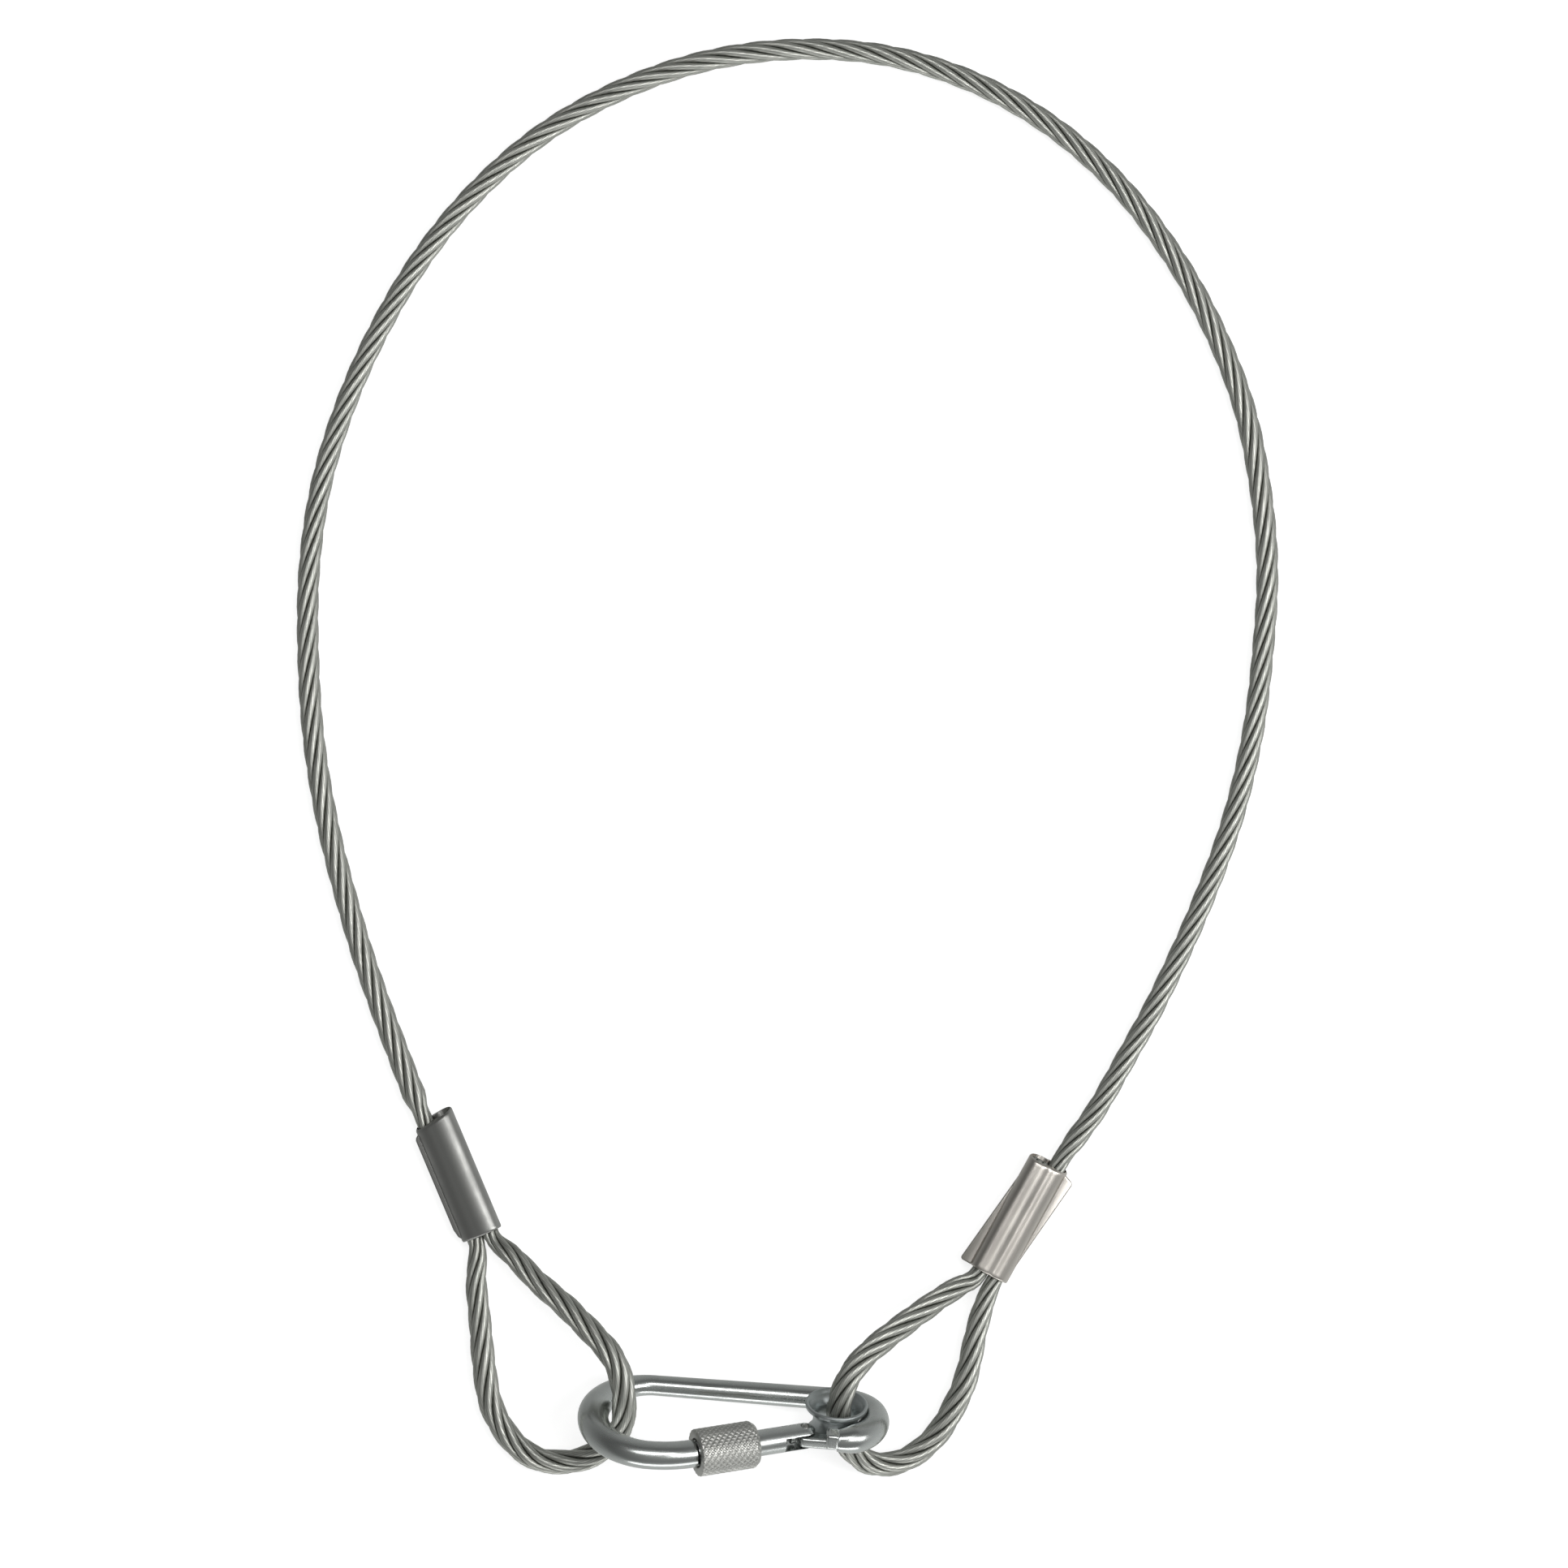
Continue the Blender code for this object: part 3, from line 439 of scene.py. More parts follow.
LEFT_EYE_ROUTE = [
    (-37.1, 27.6, 4.6), (-33.0, 23.5, 6.0), (-28.3, 19.6, 7.6), (-24.2, 15.7, 9.0),
    (-21.1, 12.5, 10.2), (-19.3, 9.6, 10.8), (-18.45, 6.5, 10.8), (-18.15, 3.2, 10.0),
    (-18.5, 0.0, 8.3), (-19.9, -2.9, 6.1), (-22.4, -5.3, 4.1), (-25.5, -6.9, 2.8),
    (-29.1, -7.5, 2.3), (-33.0, -7.0, 2.25), (-36.5, -4.8, 2.25), (-39.3, -1.3, 2.25),
    (-41.2, 3.0, 2.25), (-42.2, 9.1, 2.25), (-42.9, 16.7, 2.25), (-43.5, 23.0, 2.25),
]
LOOP_ROUTE = [
    (-54.0, 54.7, 2.3), (-56.1, 60.1, 2.2), (-60.2, 71.1, 2.15), (-63.9, 82.3, 2.1),
    (-68.3, 98.9, 2.1), (-71.0, 114.6, 2.1), (-72.0, 129.6, 2.05), (-71.8, 144.1, 2.05),
    (-69.8, 158.1, 2.05), (-65.7, 171.6, 2.05), (-60.0, 184.4, 2.05), (-52.7, 196.7, 2.05),
    (-43.6, 207.8, 2.05), (-32.5, 217.5, 2.05), (-19.5, 224.9, 2.05), (-5.2, 229.9, 2.05),
    (9.9, 232.0, 2.05), (25.4, 231.1, 2.05), (40.1, 226.8, 2.05), (53.4, 219.5, 2.05),
    (64.9, 209.6, 2.05), (74.1, 197.9, 2.05), (81.2, 185.4, 2.05), (86.5, 172.0, 2.05),
    (89.4, 158.1, 2.05), (90.65, 144.1, 2.05), (89.9, 129.9, 2.05), (88.1, 115.6, 2.05),
    (84.6, 101.0, 2.05), (79.1, 86.1, 2.05), (72.2, 71.1, 2.05), (66.2, 60.1, 2.05),
    (61.8, 52.4, 2.1), (57.9, 46.9, 2.2),
]
RIGHT_EYE_ROUTE = [
    (42.5, 18.9, 2.25), (41.2, 14.3, 2.25), (40.3, 9.8, 2.25), (39.1, 5.4, 2.25),
    (37.3, 1.5, 2.25), (35.3, -1.9, 2.25), (33.1, -4.4, 2.3), (30.8, -6.2, 2.5),
    (28.2, -7.4, 2.8), (25.4, -7.8, 3.3), (22.5, -7.1, 4.2), (20.3, -5.2, 5.4),
    (18.5, -2.5, 6.9), (17.9, 0.3, 8.6), (18.0, 3.2, 10.1), (18.8, 6.1, 10.9),
    (20.2, 8.8, 11.0), (22.3, 11.3, 10.5), (25.0, 13.6, 9.6), (28.3, 16.0, 8.3),
    (32.1, 18.6, 6.6), (35.6, 20.9, 5.2), (38.4, 22.5, 4.2),
]


class Ferrule:
    """Place of a ferrule in mm: its centre, the axis towards its eye and the way between its ropes."""

    def __init__(self, centre, axis, inward, back_yaw, waist):
        self.centre = np.array(centre)
        self.back_yaw = back_yaw
        self.waist = waist
        self.axis = np.array(axis) / np.linalg.norm(axis)
        self.inward = np.array(inward) / np.linalg.norm(inward)
        self.up = np.array((0.0, 0.0, 1.0))
        self.across = self.inward * math.cos(FERRULE_ROLL) + self.up * math.sin(FERRULE_ROLL)
        self.through = self.up * math.cos(FERRULE_ROLL) - self.inward * math.sin(FERRULE_ROLL)

    def seat(self, along, side):
        return self.centre + self.axis * along + self.across * (side * PRESSED_OFFSET)


LEFT = Ferrule((-46.4, 40.5, 2.7), (8.0, -19.0, 0.0), (19.0, 8.0, 0.0), math.radians(12.0), 0.02)
RIGHT = Ferrule((48.2, 33.4, 2.7), (-10.2, -18.4, 0.0), (-18.4, 10.2, 0.0), 0.0, 0.28)


def pressed_run(ferrule, side, start, stop):
    return [(ferrule.seat(start + (stop - start) * step / 4.0, side), PRESSED_RADIUS) for step in range(5)]


def free_run(route, radii):
    shares, widths = zip(*radii)
    run = np.interp(np.linspace(0.0, 1.0, len(route)), shares, widths)
    return [(np.array(point), radius) for point, radius in zip(route, run)]


def rope_route():
    mouth = FERRULE_HALF + MOUTH_GAP
    back_mouth = -(mouth + BACK_REACH)
    dead_end = -(FERRULE_HALF + BACK_REACH - DEAD_END_SETBACK)
    route = pressed_run(LEFT, 1.0, dead_end, mouth)
    route += free_run(LEFT_EYE_ROUTE, EYE_RADII)
    route += pressed_run(LEFT, -1.0, mouth, back_mouth)
    route += free_run(LOOP_ROUTE, LOOP_RADII)
    route += pressed_run(RIGHT, -1.0, back_mouth, mouth)
    route += free_run(RIGHT_EYE_ROUTE, EYE_RADII)
    route += pressed_run(RIGHT, 1.0, mouth, dead_end)
    return route


def rope_line(step):
    """Evenly spaced points in mm and radii on the smooth curve through the route."""
    route = rope_route()
    points = np.array([point for point, _ in route])
    radii = np.array([radius for _, radius in route])
    dense = []
    for index in range(len(points) - 1):
        before = points[max(index - 1, 0)]
        start = points[index]
        end = points[index + 1]
        after = points[min(index + 2, len(points) - 1)]
        for part in range(CURVE_PARTS):
            t = part / CURVE_PARTS
            spot = 0.5 * (2.0 * start + (end - before) * t
                          + (2.0 * before - 5.0 * start + 4.0 * end - after) * t * t
                          + (3.0 * start - before - 3.0 * end + after) * t ** 3)
            radius = radii[index] + (radii[index + 1] - radii[index]) * t
            dense.append((*spot, radius))
    dense.append((*points[-1], radii[-1]))
    dense = np.array(dense)
    walked = np.concatenate([[0.0], np.cumsum(np.linalg.norm(np.diff(dense[:, :3], axis=0), axis=1))])
    wanted = np.linspace(0.0, walked[-1], int(walked[-1] / step) + 1)
    even = np.stack([np.interp(wanted, walked, dense[:, k]) for k in range(4)], axis=1)
    return even[:, :3], even[:, 3], wanted


def carried_frames(points):
    """Tangents and two cross directions that turn as little as they can along a line."""
    tangents = np.gradient(points, axis=0)
    tangents /= np.linalg.norm(tangents, axis=1)[:, None]
    first = np.cross(tangents[0], (0.0, 0.0, 1.0))
    first /= np.linalg.norm(first)
    across = [first]
    for tangent in tangents[1:]:
        level = across[-1] - tangent * np.dot(across[-1], tangent)
        across.append(level / np.linalg.norm(level))
    across = np.array(across)
    return tangents, across, np.cross(tangents, across)


def strand_section(turn):
    """Offsets across and out of a strand with a crown for each of its outer wires."""
    corners = np.arange(WIRES * 2)
    angles = turn[:, None] + corners[None, :] * math.pi / WIRES
    crown = (corners % 2 == 0)[None, :]
    radius = np.where(crown, WIRE_CROWN, WIRE_VALLEY)
    return radius * np.cos(angles), radius * np.sin(angles), np.broadcast_to(~crown, angles.shape)


def make_rope(material):
    points, radii, walked = rope_line(ROPE_STEP)
    tangents, across, over = carried_frames(points)
    scale = radii / CREST
    verts, faces, grain, valley, depth, wire = [], [], [], [], [], []
    base = 0
    for strand in range(STRANDS):
        angle = 2.0 * math.pi * (walked / LAY + strand / STRANDS)
        outward = across * np.cos(angle)[:, None] + over * np.sin(angle)[:, None]
        sideways = over * np.cos(angle)[:, None] - across * np.sin(angle)[:, None]
        out, side, low = strand_section(-2.0 * math.pi * walked / WIRE_LAY)
        centre = points + outward * (STRAND_PLACE * scale)[:, None]
        rings = (centre[:, None, :] + outward[:, None, :] * (out * scale[:, None])[:, :, None]
                 + sideways[:, None, :] * (side * scale[:, None])[:, :, None])
        ring_verts, ring_faces = skin(rings)
        verts.append(ring_verts)
        faces += [[corner + base for corner in face] for face in ring_faces]
        base += len(ring_verts)
        # depth: painted shade, growing with the depth below the crests in the grooves between strands
        reach = np.hypot(STRAND_PLACE + out, side)
        depth.append(np.clip((SHADE_RADIUS - reach) / SHADE_DEPTH, 0.0, 1.0).ravel())
        # valley: the valleys between wires, darkened by painted shade with some dirt
        valley.append(low.astype(float).ravel())
        tone = np.random.default_rng(strand + 5).random(WIRES).repeat(2)
        wire.append(np.broadcast_to(tone, out.shape).ravel())
        length = np.broadcast_to(walked[:, None] + 37.0 * strand, out.shape)
        around = np.broadcast_to(np.arange(WIRES * 2) * math.pi / WIRES, out.shape)
        grain.append(np.stack([length, 0.7 * np.cos(around), 0.7 * np.sin(around)], axis=-1).reshape(-1, 3))
    core_angles = circle(CORE_SIDES)
    core = (points[:, None, :] + (across[:, None, :] * np.cos(core_angles)[None, :, None]
                                  + over[:, None, :] * np.sin(core_angles)[None, :, None])
            * (CORE_RADIUS * scale)[:, None, None])
    core_verts, core_faces = skin(core)
    verts.append(core_verts)
    faces += [[corner + base for corner in face] for face in core_faces]
    count = len(core_verts)
    # The core gets full painted shade
    depth.append(np.ones(count))
    valley.append(np.ones(count))
    wire.append(np.ones(count))
    grain.append(core_verts)
    rope = new_piece("wire_rope_laid", np.concatenate(verts) * MM, faces, "rope_sling", material,
                     ("wire_rope",), sharp=None)
    store(rope, "grain", np.concatenate(grain), "FLOAT_VECTOR")
    store(rope, "valley", np.concatenate(valley))
    store(rope, "depth", np.concatenate(depth))
    store(rope, "wire", np.concatenate(wire))
    return rope, points * MM


# ---------------------------------------------------------------- ferrules

FERRULE_RADIUS = 2.3
FERRULE_HALF_FLAT = 1.3
BORE_RADIUS = 1.78
FIN_HALF_THICKNESS = 0.45
OVAL_POWER = 2.45
BACK_SLOPE = math.tan(math.radians(14.0))
SLEEVE_ROUNDING = 0.45
WAIST_HALF_WIDTH = 0.75

# Pressing fins, as (along, inward) corners from each ferrule's centre
LEFT_FIN = [
    (-9.2, -4.0), (-8.8, -4.2), (7.6, -4.2), (9.0, -3.9),
    (9.8, -3.3), (9.8, 3.3), (-10.6, 3.3), (-9.8, -3.3),
]
RIGHT_FIN = [
    (-9.9, 3.2), (9.9, 5.4), (10.2, 5.1), (10.2, 3.0),
    (10.0, -3.2), (-9.8, -5.2), (-10.2, -4.9), (-10.8, -3.3),
]


def sleeve_ring(ferrule, along, inset, ripple):
    """Oval ring across the sleeve, waisted between the ropes and sloped back at its far end."""
    angles = circle(128)
    cosine, sine = np.cos(angles), np.sin(angles)
    swell = (np.abs(cosine) ** OVAL_POWER + np.abs(sine) ** OVAL_POWER) ** (-1.0 / OVAL_POWER)
    wide = (FERRULE_RADIUS + FERRULE_HALF_FLAT - inset) * swell * cosine
    thick = (FERRULE_RADIUS * (1.0 + ripple) - inset) * swell * sine
    thick -= ferrule.waist * np.exp(-(wide / WAIST_HALF_WIDTH) ** 2) * np.sign(sine)
    ring = ferrule.across * wide[:, None] + ferrule.through * thick[:, None]
    lift = ring[:, 2] + FERRULE_RADIUS + FERRULE_HALF_FLAT * math.sin(FERRULE_ROLL)
    back = np.clip(-along / FERRULE_HALF, 0.0, 1.0) ** 2
    shift = lift * BACK_SLOPE - (ring @ ferrule.inward) * math.tan(ferrule.back_yaw)
    return ferrule.centre + ring + ferrule.axis * (along + shift * back)[:, None]


def sleeve_bar(ferrule, side, start, stop, start_radius, stop_radius):
    """Round cutter along one rope's seat."""
    ring = section(ferrule.across, ferrule.through, circle(40))
    near = ferrule.seat(start, side) + ring * start_radius
    far = ferrule.seat(stop, side) + ring * stop_radius
    return skin(np.array([near, far]) * MM)


def make_ferrule(name, ferrule, fin, material):
    """Pressed sleeve: worn rounded ends, fins squeezed out between the dies and two joined bores."""
    ends = []
    for step in range(5):
        turn = math.pi / 2.0 * step / 4.0
        ends.append((SLEEVE_ROUNDING * (1.0 - math.sin(turn)), SLEEVE_ROUNDING * (1.0 - math.cos(turn))))
    rows = [(depth - FERRULE_HALF - BACK_REACH, inset, 0.0) for inset, depth in ends]
    middle = np.linspace(0.8 - FERRULE_HALF - BACK_REACH, FERRULE_HALF - 0.8, 30)
    rows += [(along, 0.0, 0.004 * math.sin(along * 0.55)) for along in middle]
    rows += [(FERRULE_HALF - depth, inset, 0.0) for inset, depth in reversed(ends)]
    rings = [sleeve_ring(ferrule, along, inset, ripple) for along, inset, ripple in rows]
    sleeve = tool(name + "_pressed", *skin(np.array(rings) * MM))
    corners = [ferrule.axis * along + ferrule.inward * inward for along, inward in fin]
    flat = ferrule.centre + np.array(corners)
    rise = ferrule.up * FIN_HALF_THICKNESS
    flange = tool("flange", *skin(np.stack([flat + rise, flat - rise]) * MM))
    soften(flange, 0.22 * MM, 30.0, 3)
    cut(sleeve, flange, "UNION")
    reach = FERRULE_HALF + BACK_REACH + 2.0
    for side in (-1.0, 1.0):
        cut(sleeve, tool("bore", *sleeve_bar(ferrule, side, -reach, reach, BORE_RADIUS, BORE_RADIUS)))
        cut(sleeve, tool("mouth", *sleeve_bar(ferrule, side, FERRULE_HALF - 0.35, FERRULE_HALF + 0.4,
                                              BORE_RADIUS - 0.05, BORE_RADIUS + 0.5)))
    finish_piece(sleeve, "rope_sling", material, (name,), sharp=38.0)
    store_grain(sleeve, framed((ferrule.across, ferrule.through, ferrule.axis, ferrule.centre * MM)))
    return sleeve


# ---------------------------------------------------------------- hook frames

BACK_BAR_START = -13.4
WIDE_BEND_RADIUS = 10.03
NOSE_BEND_RADIUS = 19.62
GATE_SLOPE = math.radians(22.0)
EYE_CENTRE_U = 17.25
EYE_RADIUS = 6.6
SHOULDER_ANGLE = math.radians(86.0)
NOSE_WIRE = 2.35
WIDE_WIRE = 2.6
BAR_WIRE = 1.72
BAR_END_WIRE = 1.95
EYE_WIRE = 2.5

HOOK = (Matrix.Translation(Vector((0.36, 4.43, 2.05)) * MM) @ Matrix.Rotation(math.radians(-4.4), 4, "Z")
        @ Matrix.Rotation(math.radians(28.75), 4, "X"))
EYE_TILT = Matrix.Rotation(math.radians(-4.5), 4, "X")


def in_plane(u, v):
    """Point in the hook's plane, along its back bar and out towards its gate, in mm."""
    return np.array((u, 0.0, v))


def on_eye(angle, radius):
    """Point in the hook's plane, about the middle of the eye bend, in mm."""
    return in_plane(EYE_CENTRE_U + radius * math.cos(angle), EYE_RADIUS + radius * math.sin(angle))


PIVOT = in_plane(12.2, 11.26)
GATE_ALONG = in_plane(-math.cos(GATE_SLOPE), math.sin(GATE_SLOPE))
GATE_OUT = in_plane(math.sin(GATE_SLOPE), math.cos(GATE_SLOPE))


# Frame of the gate in the world: X out of the hook's plane, Y outward, Z towards the nose
GATE = HOOK @ framed((np.cross(GATE_OUT, GATE_ALONG), GATE_OUT, GATE_ALONG, PIVOT * MM))


def on_gate(along, outward):
    """Point in the hook's plane, along the gate from its pivot and out from its axis, in mm."""
    return PIVOT + GATE_ALONG * along + GATE_OUT * outward


def plate(outline, half_thickness):
    """Plate in the hook's plane, from points in mm."""
    flat = np.array(outline)
    shift = np.array((0.0, half_thickness, 0.0))
    return skin(moved(np.stack([flat + shift, flat - shift]) * MM, HOOK))


def bar(start, end, radius, sides, matrix):
    """Round bar between two points in mm of a frame."""
    start, end = np.array(start, float), np.array(end, float)
    axis = (end - start) / np.linalg.norm(end - start)
    across = np.cross(axis, (0.3, 0.5, 0.81))
    across /= np.linalg.norm(across)
    over = np.cross(axis, across)
    ring = section(across, over, circle(sides)) * radius
    return skin(moved(np.stack([start + ring, end + ring]) * MM, matrix))


def block(low, high, matrix):
    """Box between two corners in mm of a frame."""
    low, high = np.array(low, float), np.array(high, float)
    rings = []
    for z in (low[2], high[2]):
        rings.append([(low[0], low[1], z), (high[0], low[1], z), (high[0], high[1], z), (low[0], high[1], z)])
    return skin(moved(np.array(rings) * MM, matrix))


# ---------------------------------------------------------------- hook body

HOOK_SIDES = 64
TONGUE_HALF_THICKNESS = 1.0
BLADE_HALF_THICKNESS = 0.75
TONGUE_HOLE_RADIUS = 0.85
SHOULDER_TAPER = 0.55
TAPER_START = 0.86
NOSE_FACE = 19.68
BLADE_TIP = 17.9


def blended(start, stop, share):
    return start + (stop - start) * share * share * (3.0 - 2.0 * share)


def wire_path():
    """Centre, outward direction and radius in mm of the bent wire, from the nose face to the shoulder."""
    spots = []
    nose_v = 2.0 * WIDE_BEND_RADIUS - NOSE_BEND_RADIUS

    def arc(u, v, radius, angle, wire, tilt=Matrix.Identity(4)):
        outward = in_plane(math.cos(angle), math.sin(angle))
        spots.append((moved(in_plane(u, v) + outward * radius, tilt), moved(outward, tilt), wire))

    steps = 16
    for step in range(steps):
        angle = math.pi / 2.0 - GATE_SLOPE * (1.0 - step / steps)
        arc(BACK_BAR_START, nose_v, NOSE_BEND_RADIUS, angle, NOSE_WIRE)
    steps = 72
    for step in range(steps + 1):
        share = 2.0 * step / steps
        if share < 1.0:
            wire = blended(NOSE_WIRE, WIDE_WIRE, share)
        else:
            wire = blended(WIDE_WIRE, BAR_WIRE, share - 1.0)
        angle = math.pi / 2.0 + math.pi * step / steps
        arc(BACK_BAR_START, WIDE_BEND_RADIUS, WIDE_BEND_RADIUS, angle, wire)
    steps = 30
    for step in range(1, steps):
        u = BACK_BAR_START + (EYE_CENTRE_U - BACK_BAR_START) * step / steps
        wire = BAR_WIRE + (BAR_END_WIRE - BAR_WIRE) * step / steps
        spots.append((in_plane(u, 0.0), in_plane(0.0, -1.0), wire))
    steps = 60
    for step in range(steps + 1):
        angle = -math.pi / 2.0 + (math.pi / 2.0 + SHOULDER_ANGLE) * step / steps
        wire = blended(BAR_END_WIRE, EYE_WIRE, min(2.5 * step / steps, 1.0))
        wire -= SHOULDER_TAPER * max(0.0, step / steps - TAPER_START) / (1.0 - TAPER_START)
        arc(EYE_CENTRE_U, EYE_RADIUS, EYE_RADIUS, angle, wire, EYE_TILT)
    return spots


def tongue_outline():
    outline = [in_plane(17.6, 13.6), in_plane(13.0, 13.6), on_gate(1.45, 1.9), on_gate(1.45, -1.2),
               on_gate(-0.2, -1.4)]
    return outline + [on_eye(math.radians(angle), EYE_RADIUS - 1.4) for angle in range(125, 84, -4)]


def blade_outline():
    root = NOSE_FACE + 1.2
    return [on_gate(root, 1.1), on_gate(BLADE_TIP, 1.1), on_gate(BLADE_TIP, -1.1), on_gate(18.35, -1.1),
            on_gate(18.35, 0.15), on_gate(19.45, 0.15), on_gate(19.45, -1.1), on_gate(root, -1.1)]


def make_hook_body(material):
    path = wire_path()
    angles = circle(HOOK_SIDES)
    rings = []
    for centre, outward, wire in path:
        out_of_plane = np.array((0.0, 1.0, 0.0)) - outward * outward[1]
        out_of_plane /= np.linalg.norm(out_of_plane)
        rings.append(centre + section(outward, out_of_plane, angles) * wire)
    body = tool("hook_body_bent", *skin(moved(np.array(rings) * MM, HOOK)))
    shoulder = tool("shoulder", *block((15.8, 0.15, 12.35), (18.1, 3.05, 15.15), HOOK))
    soften(shoulder, 0.55 * MM, 60.0, 4)
    cut(body, shoulder, "UNION")
    tongue = tool("tongue", *plate(tongue_outline(), TONGUE_HALF_THICKNESS))
    soften(tongue, 0.6 * MM, 60.0, 5, clamped=False)
    cut(body, tongue, "UNION")
    cut(body, tool("blade", *plate(blade_outline(), BLADE_HALF_THICKNESS)), "UNION")
    reach = np.array((0.0, 2.0, 0.0))
    cut(body, tool("hole", *bar(PIVOT - reach, PIVOT + reach, TONGUE_HOLE_RADIUS, 32, HOOK)))
    soften(body, 0.18 * MM, 40.0, 3)
    finish_piece(body, "hook", material, ("hook_body",), sharp=40.0, flats=True)
    store_wire_grain(body, path)


def store_wire_grain(body, path):
    """Grain that follows the bent wire: run along it, then the place across its section."""
    local = moved(points_of(body), HOOK.inverted()) / MM
    centres = np.array([centre for centre, _, _ in path])
    outwards = np.array([outward for _, outward, _ in path])
    walked = np.concatenate([[0.0], np.cumsum(np.linalg.norm(np.diff(centres, axis=0), axis=1))])
    nearest = np.argmin(((local[:, None, :] - centres[None, :, :]) ** 2).sum(axis=2), axis=1)
    offset = local - centres[nearest]
    out = (offset * outwards[nearest]).sum(axis=1)
    grain = np.stack([walked[nearest], out, offset[:, 1]], axis=1)
    store(body, "grain", grain, "FLOAT_VECTOR")


# ---------------------------------------------------------------- thimble


def make_thimble(material):
    """Rolled grommet: a groove that sits on the wire and a flared, rounded lip at each mouth."""
    groove, wall, steps = 2.8, 0.6, 24
    profile = []
    for height in np.linspace(-2.05, 2.35, steps + 1):
        profile.append((EYE_RADIUS - math.sqrt(groove ** 2 - height ** 2), height))
    upper = rounded([profile[-1], (5.25, 2.45), (5.3, 3.15), (4.95, 3.32), (4.4, 2.95)], 0.3)[1:-1]
    lower = rounded([profile[0], (4.95, -2.42), (4.95, -2.75), (4.5, -2.8), (4.2, -2.65)], 0.3)[1:-1]
    profile += upper
    for height in np.linspace(2.72, -2.4, steps + 1):
        profile.append((EYE_RADIUS - math.sqrt((groove + wall) ** 2 - height ** 2), height))
    profile += lower[::-1]
    centre = Matrix.Translation(Vector((EYE_CENTRE_U, 0.0, EYE_RADIUS)) * MM)
    stand = HOOK @ EYE_TILT @ centre @ Matrix.Rotation(math.radians(-90.0), 4, "X")
    verts, faces = turned(profile, 128, stand, closed=True)
    thimble = new_piece("eyelet_thimble_rolled", verts, faces, "hook", material,
                        ("eyelet_thimble",), sharp=50.0)
    store_grain(thimble, stand)


# ---------------------------------------------------------------- gate and its small parts

GATE_RADIUS = 2.2
GATE_LENGTH = 19.35
GATE_SIDES = 96
THREAD_START = 9.6
THREAD_STOP = 17.3
THREAD_PITCH = 0.7
THREAD_DEPTH = 0.22
THREAD_STEP = 0.0875
EAR_FACE = 1.95
EAR_HOLE_RADIUS = 0.75
DISH_RADIUS = 0.8
PIN_PLACE = (-0.45, 18.85)


def gate_rings():
    """Rings of the gate: round nose at the pivot, plain bar, screw thread and latch end."""
    heights = []
    for step in range(1, 13):
        angle = math.pi / 2.0 * step / 12.0
        heights.append((GATE_RADIUS * math.sin(angle), -GATE_RADIUS * math.cos(angle)))
    profile = heights + [(GATE_RADIUS, 4.0), (GATE_RADIUS, 7.5), (GATE_RADIUS, 9.4)]
    steps = int((THREAD_STOP - THREAD_START) / THREAD_STEP)
    angles = circle(GATE_SIDES)
    rings = []
    for radius, height in profile:
        rings.append(round_ring(angles, radius, height))
    for step in range(steps + 1):
        height = THREAD_START + (THREAD_STOP - THREAD_START) * step / steps
        fade = min(1.0, step / 8.0, (steps - step) / 8.0)
        turn = height / THREAD_PITCH - angles / (2.0 * math.pi)
        wave = np.abs((turn % 1.0) * 2.0 - 1.0)
        radius = GATE_RADIUS - THREAD_DEPTH * fade * np.clip((1.0 - wave) * 1.4 - 0.2, 0.0, 1.0)
        rings.append(round_ring(angles, radius, height))
    for radius, height in ((GATE_RADIUS, 17.4), (GATE_RADIUS, 19.1), (GATE_RADIUS - 0.08, 19.27),
                           (GATE_RADIUS - 0.25, GATE_LENGTH)):
        rings.append(round_ring(angles, radius, height))
    return np.array(rings) * MM


def make_gate(material):
    gate = tool("gate_bar", *skin(moved(gate_rings(), GATE)))
    reach = 4.0
    cut(gate, tool("fork", *block((-1.3, -reach, -reach), (1.3, reach, 4.0), GATE)))
    cut(gate, tool("latch", *block((-1.05, -reach, 17.5), (1.05, reach, 21.0), GATE)))
    cut(gate, tool("bore", *bar((0, 0, 3.0), (0, 0, 13.0), 1.05, 32, GATE)))
    cut(gate, tool("ears", *bar((-reach, 0, 0), (reach, 0, 0), EAR_HOLE_RADIUS, 32, GATE)))
    for side in (1.0, -1.0):
        cut(gate, tool("dish", *bar((side * EAR_FACE, 0, 0), (side * reach, 0, 0), DISH_RADIUS, 48, GATE)))
    cut(gate, tool("pin", *bar((-reach, *PIN_PLACE), (reach, *PIN_PLACE), 0.45, 24, GATE)))
    finish_piece(gate, "gate", material, ("gate",), sharp=30.0)
    store_grain(gate, GATE)


def make_rivet(material):
    head = [(0.0, 1.96), (0.2, 1.98), (0.4, 2.06), (0.52, 2.08), (0.63, 2.03), (0.68, 1.96), (0.68, 1.9)]
    profile = [(max(radius, 0.02), -height) for radius, height in head]
    profile += [(0.55, -1.9), (0.55, 1.9)]
    profile += [(max(radius, 0.02), height) for radius, height in reversed(head)]
    stand = GATE @ Matrix.Rotation(math.radians(90.0), 4, "Y")
    verts, faces = turned(profile, 48, stand)
    rivet = new_piece("gate_rivet_headed", verts, faces, "gate", material,
                      ("gate_rivet",), sharp=40.0)
    store_grain(rivet, stand)


def make_latch_pin(material):
    verts, faces = bar((-1.98, *PIN_PLACE), (1.98, *PIN_PLACE), 0.35, 32, GATE)
    pin = new_piece("latch_pin_round", verts, faces, "gate", material,
                    ("latch_pin",), sharp=40.0)
    store_grain(pin, GATE)


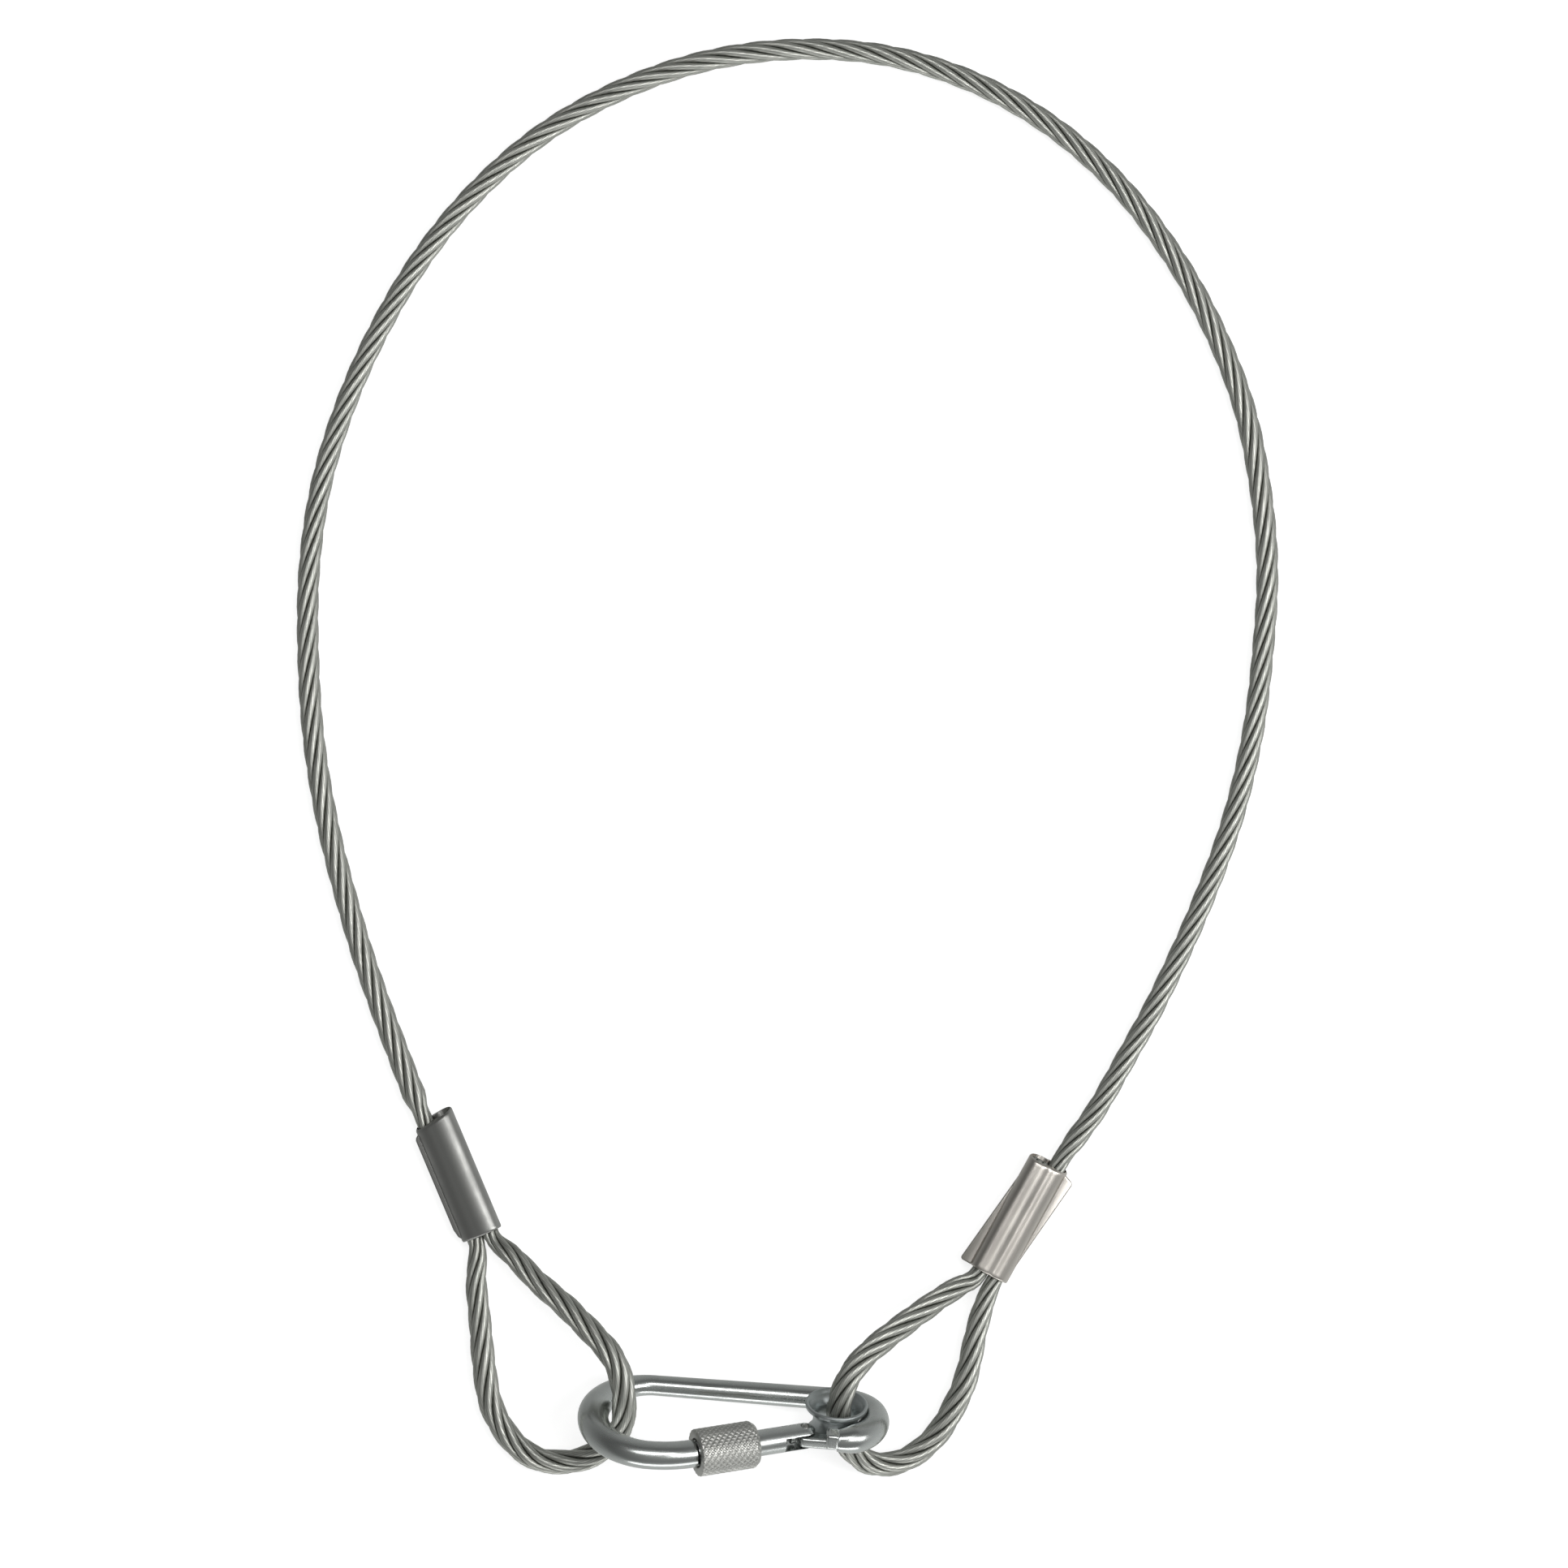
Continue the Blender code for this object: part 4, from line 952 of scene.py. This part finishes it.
def make_plunger(material):
    profile = rounded([(0.02, 1.75), (0.95, 1.75), (0.95, 2.7), (0.4, 2.7), (0.4, 6.0), (0.02, 6.0)], 0.18)
    verts, faces = turned(profile, 48, GATE)
    plunger = new_piece("spring_plunger_turned", verts, faces, "plunger", material,
                        ("spring_plunger",), sharp=40.0)
    store_grain(plunger, GATE)


SPRING_TURNS = 13
SPRING_START = 3.3
SPRING_END = 12.6
SPRING_RADIUS = 0.7
SPRING_WIRE = 0.15


def make_spring(material):
    per_turn = 36
    steps = SPRING_TURNS * per_turn
    rings = []
    angles = circle(12)
    upward = np.array((0.0, 0.0, 1.0))
    for step in range(steps + 1):
        angle = 2.0 * math.pi * step / per_turn
        outward = np.array((math.cos(angle), math.sin(angle), 0.0))
        height = SPRING_START + (SPRING_END - SPRING_START) * step / steps
        centre = outward * SPRING_RADIUS + upward * height
        rings.append(centre + section(outward, upward, angles) * SPRING_WIRE)
    verts, faces = skin(moved(np.array(rings) * MM, GATE))
    spring = new_piece("gate_spring_coiled", verts, faces, "gate", material, ("gate_spring",),
                       sharp=40.0)
    store_grain(spring, GATE)


# ---------------------------------------------------------------- lock nut

NUT_RADIUS = 4.0
NUT_BORE = 2.5
NUT_START = 8.85
NUT_END = 19.35
KNURLS_AROUND = 24
KNURL_PITCH = 1.05
KNURL_DEPTH = 0.16
KNURL_CELLS = 10


def make_nut(material):
    angles = circle(KNURLS_AROUND * KNURL_CELLS)
    start, stop = NUT_START + 0.35, NUT_END - 0.12
    rows = int(round((stop - start) / KNURL_PITCH * KNURL_CELLS))
    rings = []

    for radius, height in ((NUT_BORE, 17.5), (NUT_BORE, NUT_START + 0.2), (2.56, NUT_START + 0.06),
                           (2.8, NUT_START), (3.3, NUT_START), (3.42, NUT_START + 0.03)):
        rings.append(round_ring(angles, radius, height))
    for row in range(rows + 1):
        height = start + (stop - start) * row / rows
        run = row / KNURL_CELLS
        around = angles / (2.0 * math.pi) * KNURLS_AROUND
        first = np.abs(((run + around) % 1.0) * 2.0 - 1.0)
        second = np.abs(((run - around) % 1.0) * 2.0 - 1.0)
        crown = np.clip(np.minimum(first, second) * 1.5, 0.0, 1.0)
        chamfer = 0.34 * max(0.0, 1.0 - (height - start) / 0.55) ** 2
        chamfer += 0.10 * max(0.0, 1.0 - (stop - height) / 0.25) ** 2
        radius = NUT_RADIUS - chamfer - KNURL_DEPTH * (1.0 - crown)
        rings.append(round_ring(angles, radius, height))
    for radius, height in ((3.55, NUT_END - 0.02), (2.7, NUT_END), (2.56, NUT_END - 0.06),
                           (NUT_BORE, NUT_END - 0.2)):
        rings.append(round_ring(angles, radius, height))
    verts, faces = skin(moved(np.array(rings) * MM, GATE), closed=True)
    nut = new_piece("lock_nut_knurled", verts, faces, "lock_nut", material,
                    ("lock_nut",), sharp=28.0)
    store_grain(nut, GATE)


# ---------------------------------------------------------------- assembly


def main():
    make_camera()
    make_floor()
    make_light()
    rope, line = make_rope(rope_steel())
    # Left sleeve: base colour darkened as painted shade
    shaded_sleeve_metal = metal("left_sleeve", (0.40, 0.40, 0.385), (0.29, 0.29, 0.28), 0.40, bump=0.001 * MM)
    left = make_ferrule("left_ferrule", LEFT, LEFT_FIN, shaded_sleeve_metal)
    # Right sleeve: base colour lighter and warmer as painted light
    lit_sleeve_metal = metal("right_sleeve", (0.66, 0.625, 0.58), (0.57, 0.54, 0.50), 0.33, bump=0.0008 * MM)
    right = make_ferrule("right_ferrule", RIGHT, RIGHT_FIN, lit_sleeve_metal)
    zinc = metal("zinc_plate", (0.58, 0.60, 0.585), (0.49, 0.51, 0.50), 0.25, bump=0.0008 * MM)
    make_hook_body(zinc)
    make_thimble(metal("thimble_zinc", (0.50, 0.53, 0.53), (0.40, 0.43, 0.43), 0.38))
    make_gate(metal("gate_zinc", (0.62, 0.64, 0.63), (0.53, 0.55, 0.54), 0.26))
    inner = metal("inner_metal", (0.46, 0.46, 0.44), (0.34, 0.34, 0.32), 0.32)
    make_rivet(inner)
    make_latch_pin(inner)
    make_plunger(metal("plunger_metal", (0.30, 0.31, 0.30), (0.20, 0.21, 0.20), 0.35))
    make_spring(inner)
    make_nut(metal("nut_zinc", (0.60, 0.60, 0.57), (0.48, 0.48, 0.46), 0.42))


main()
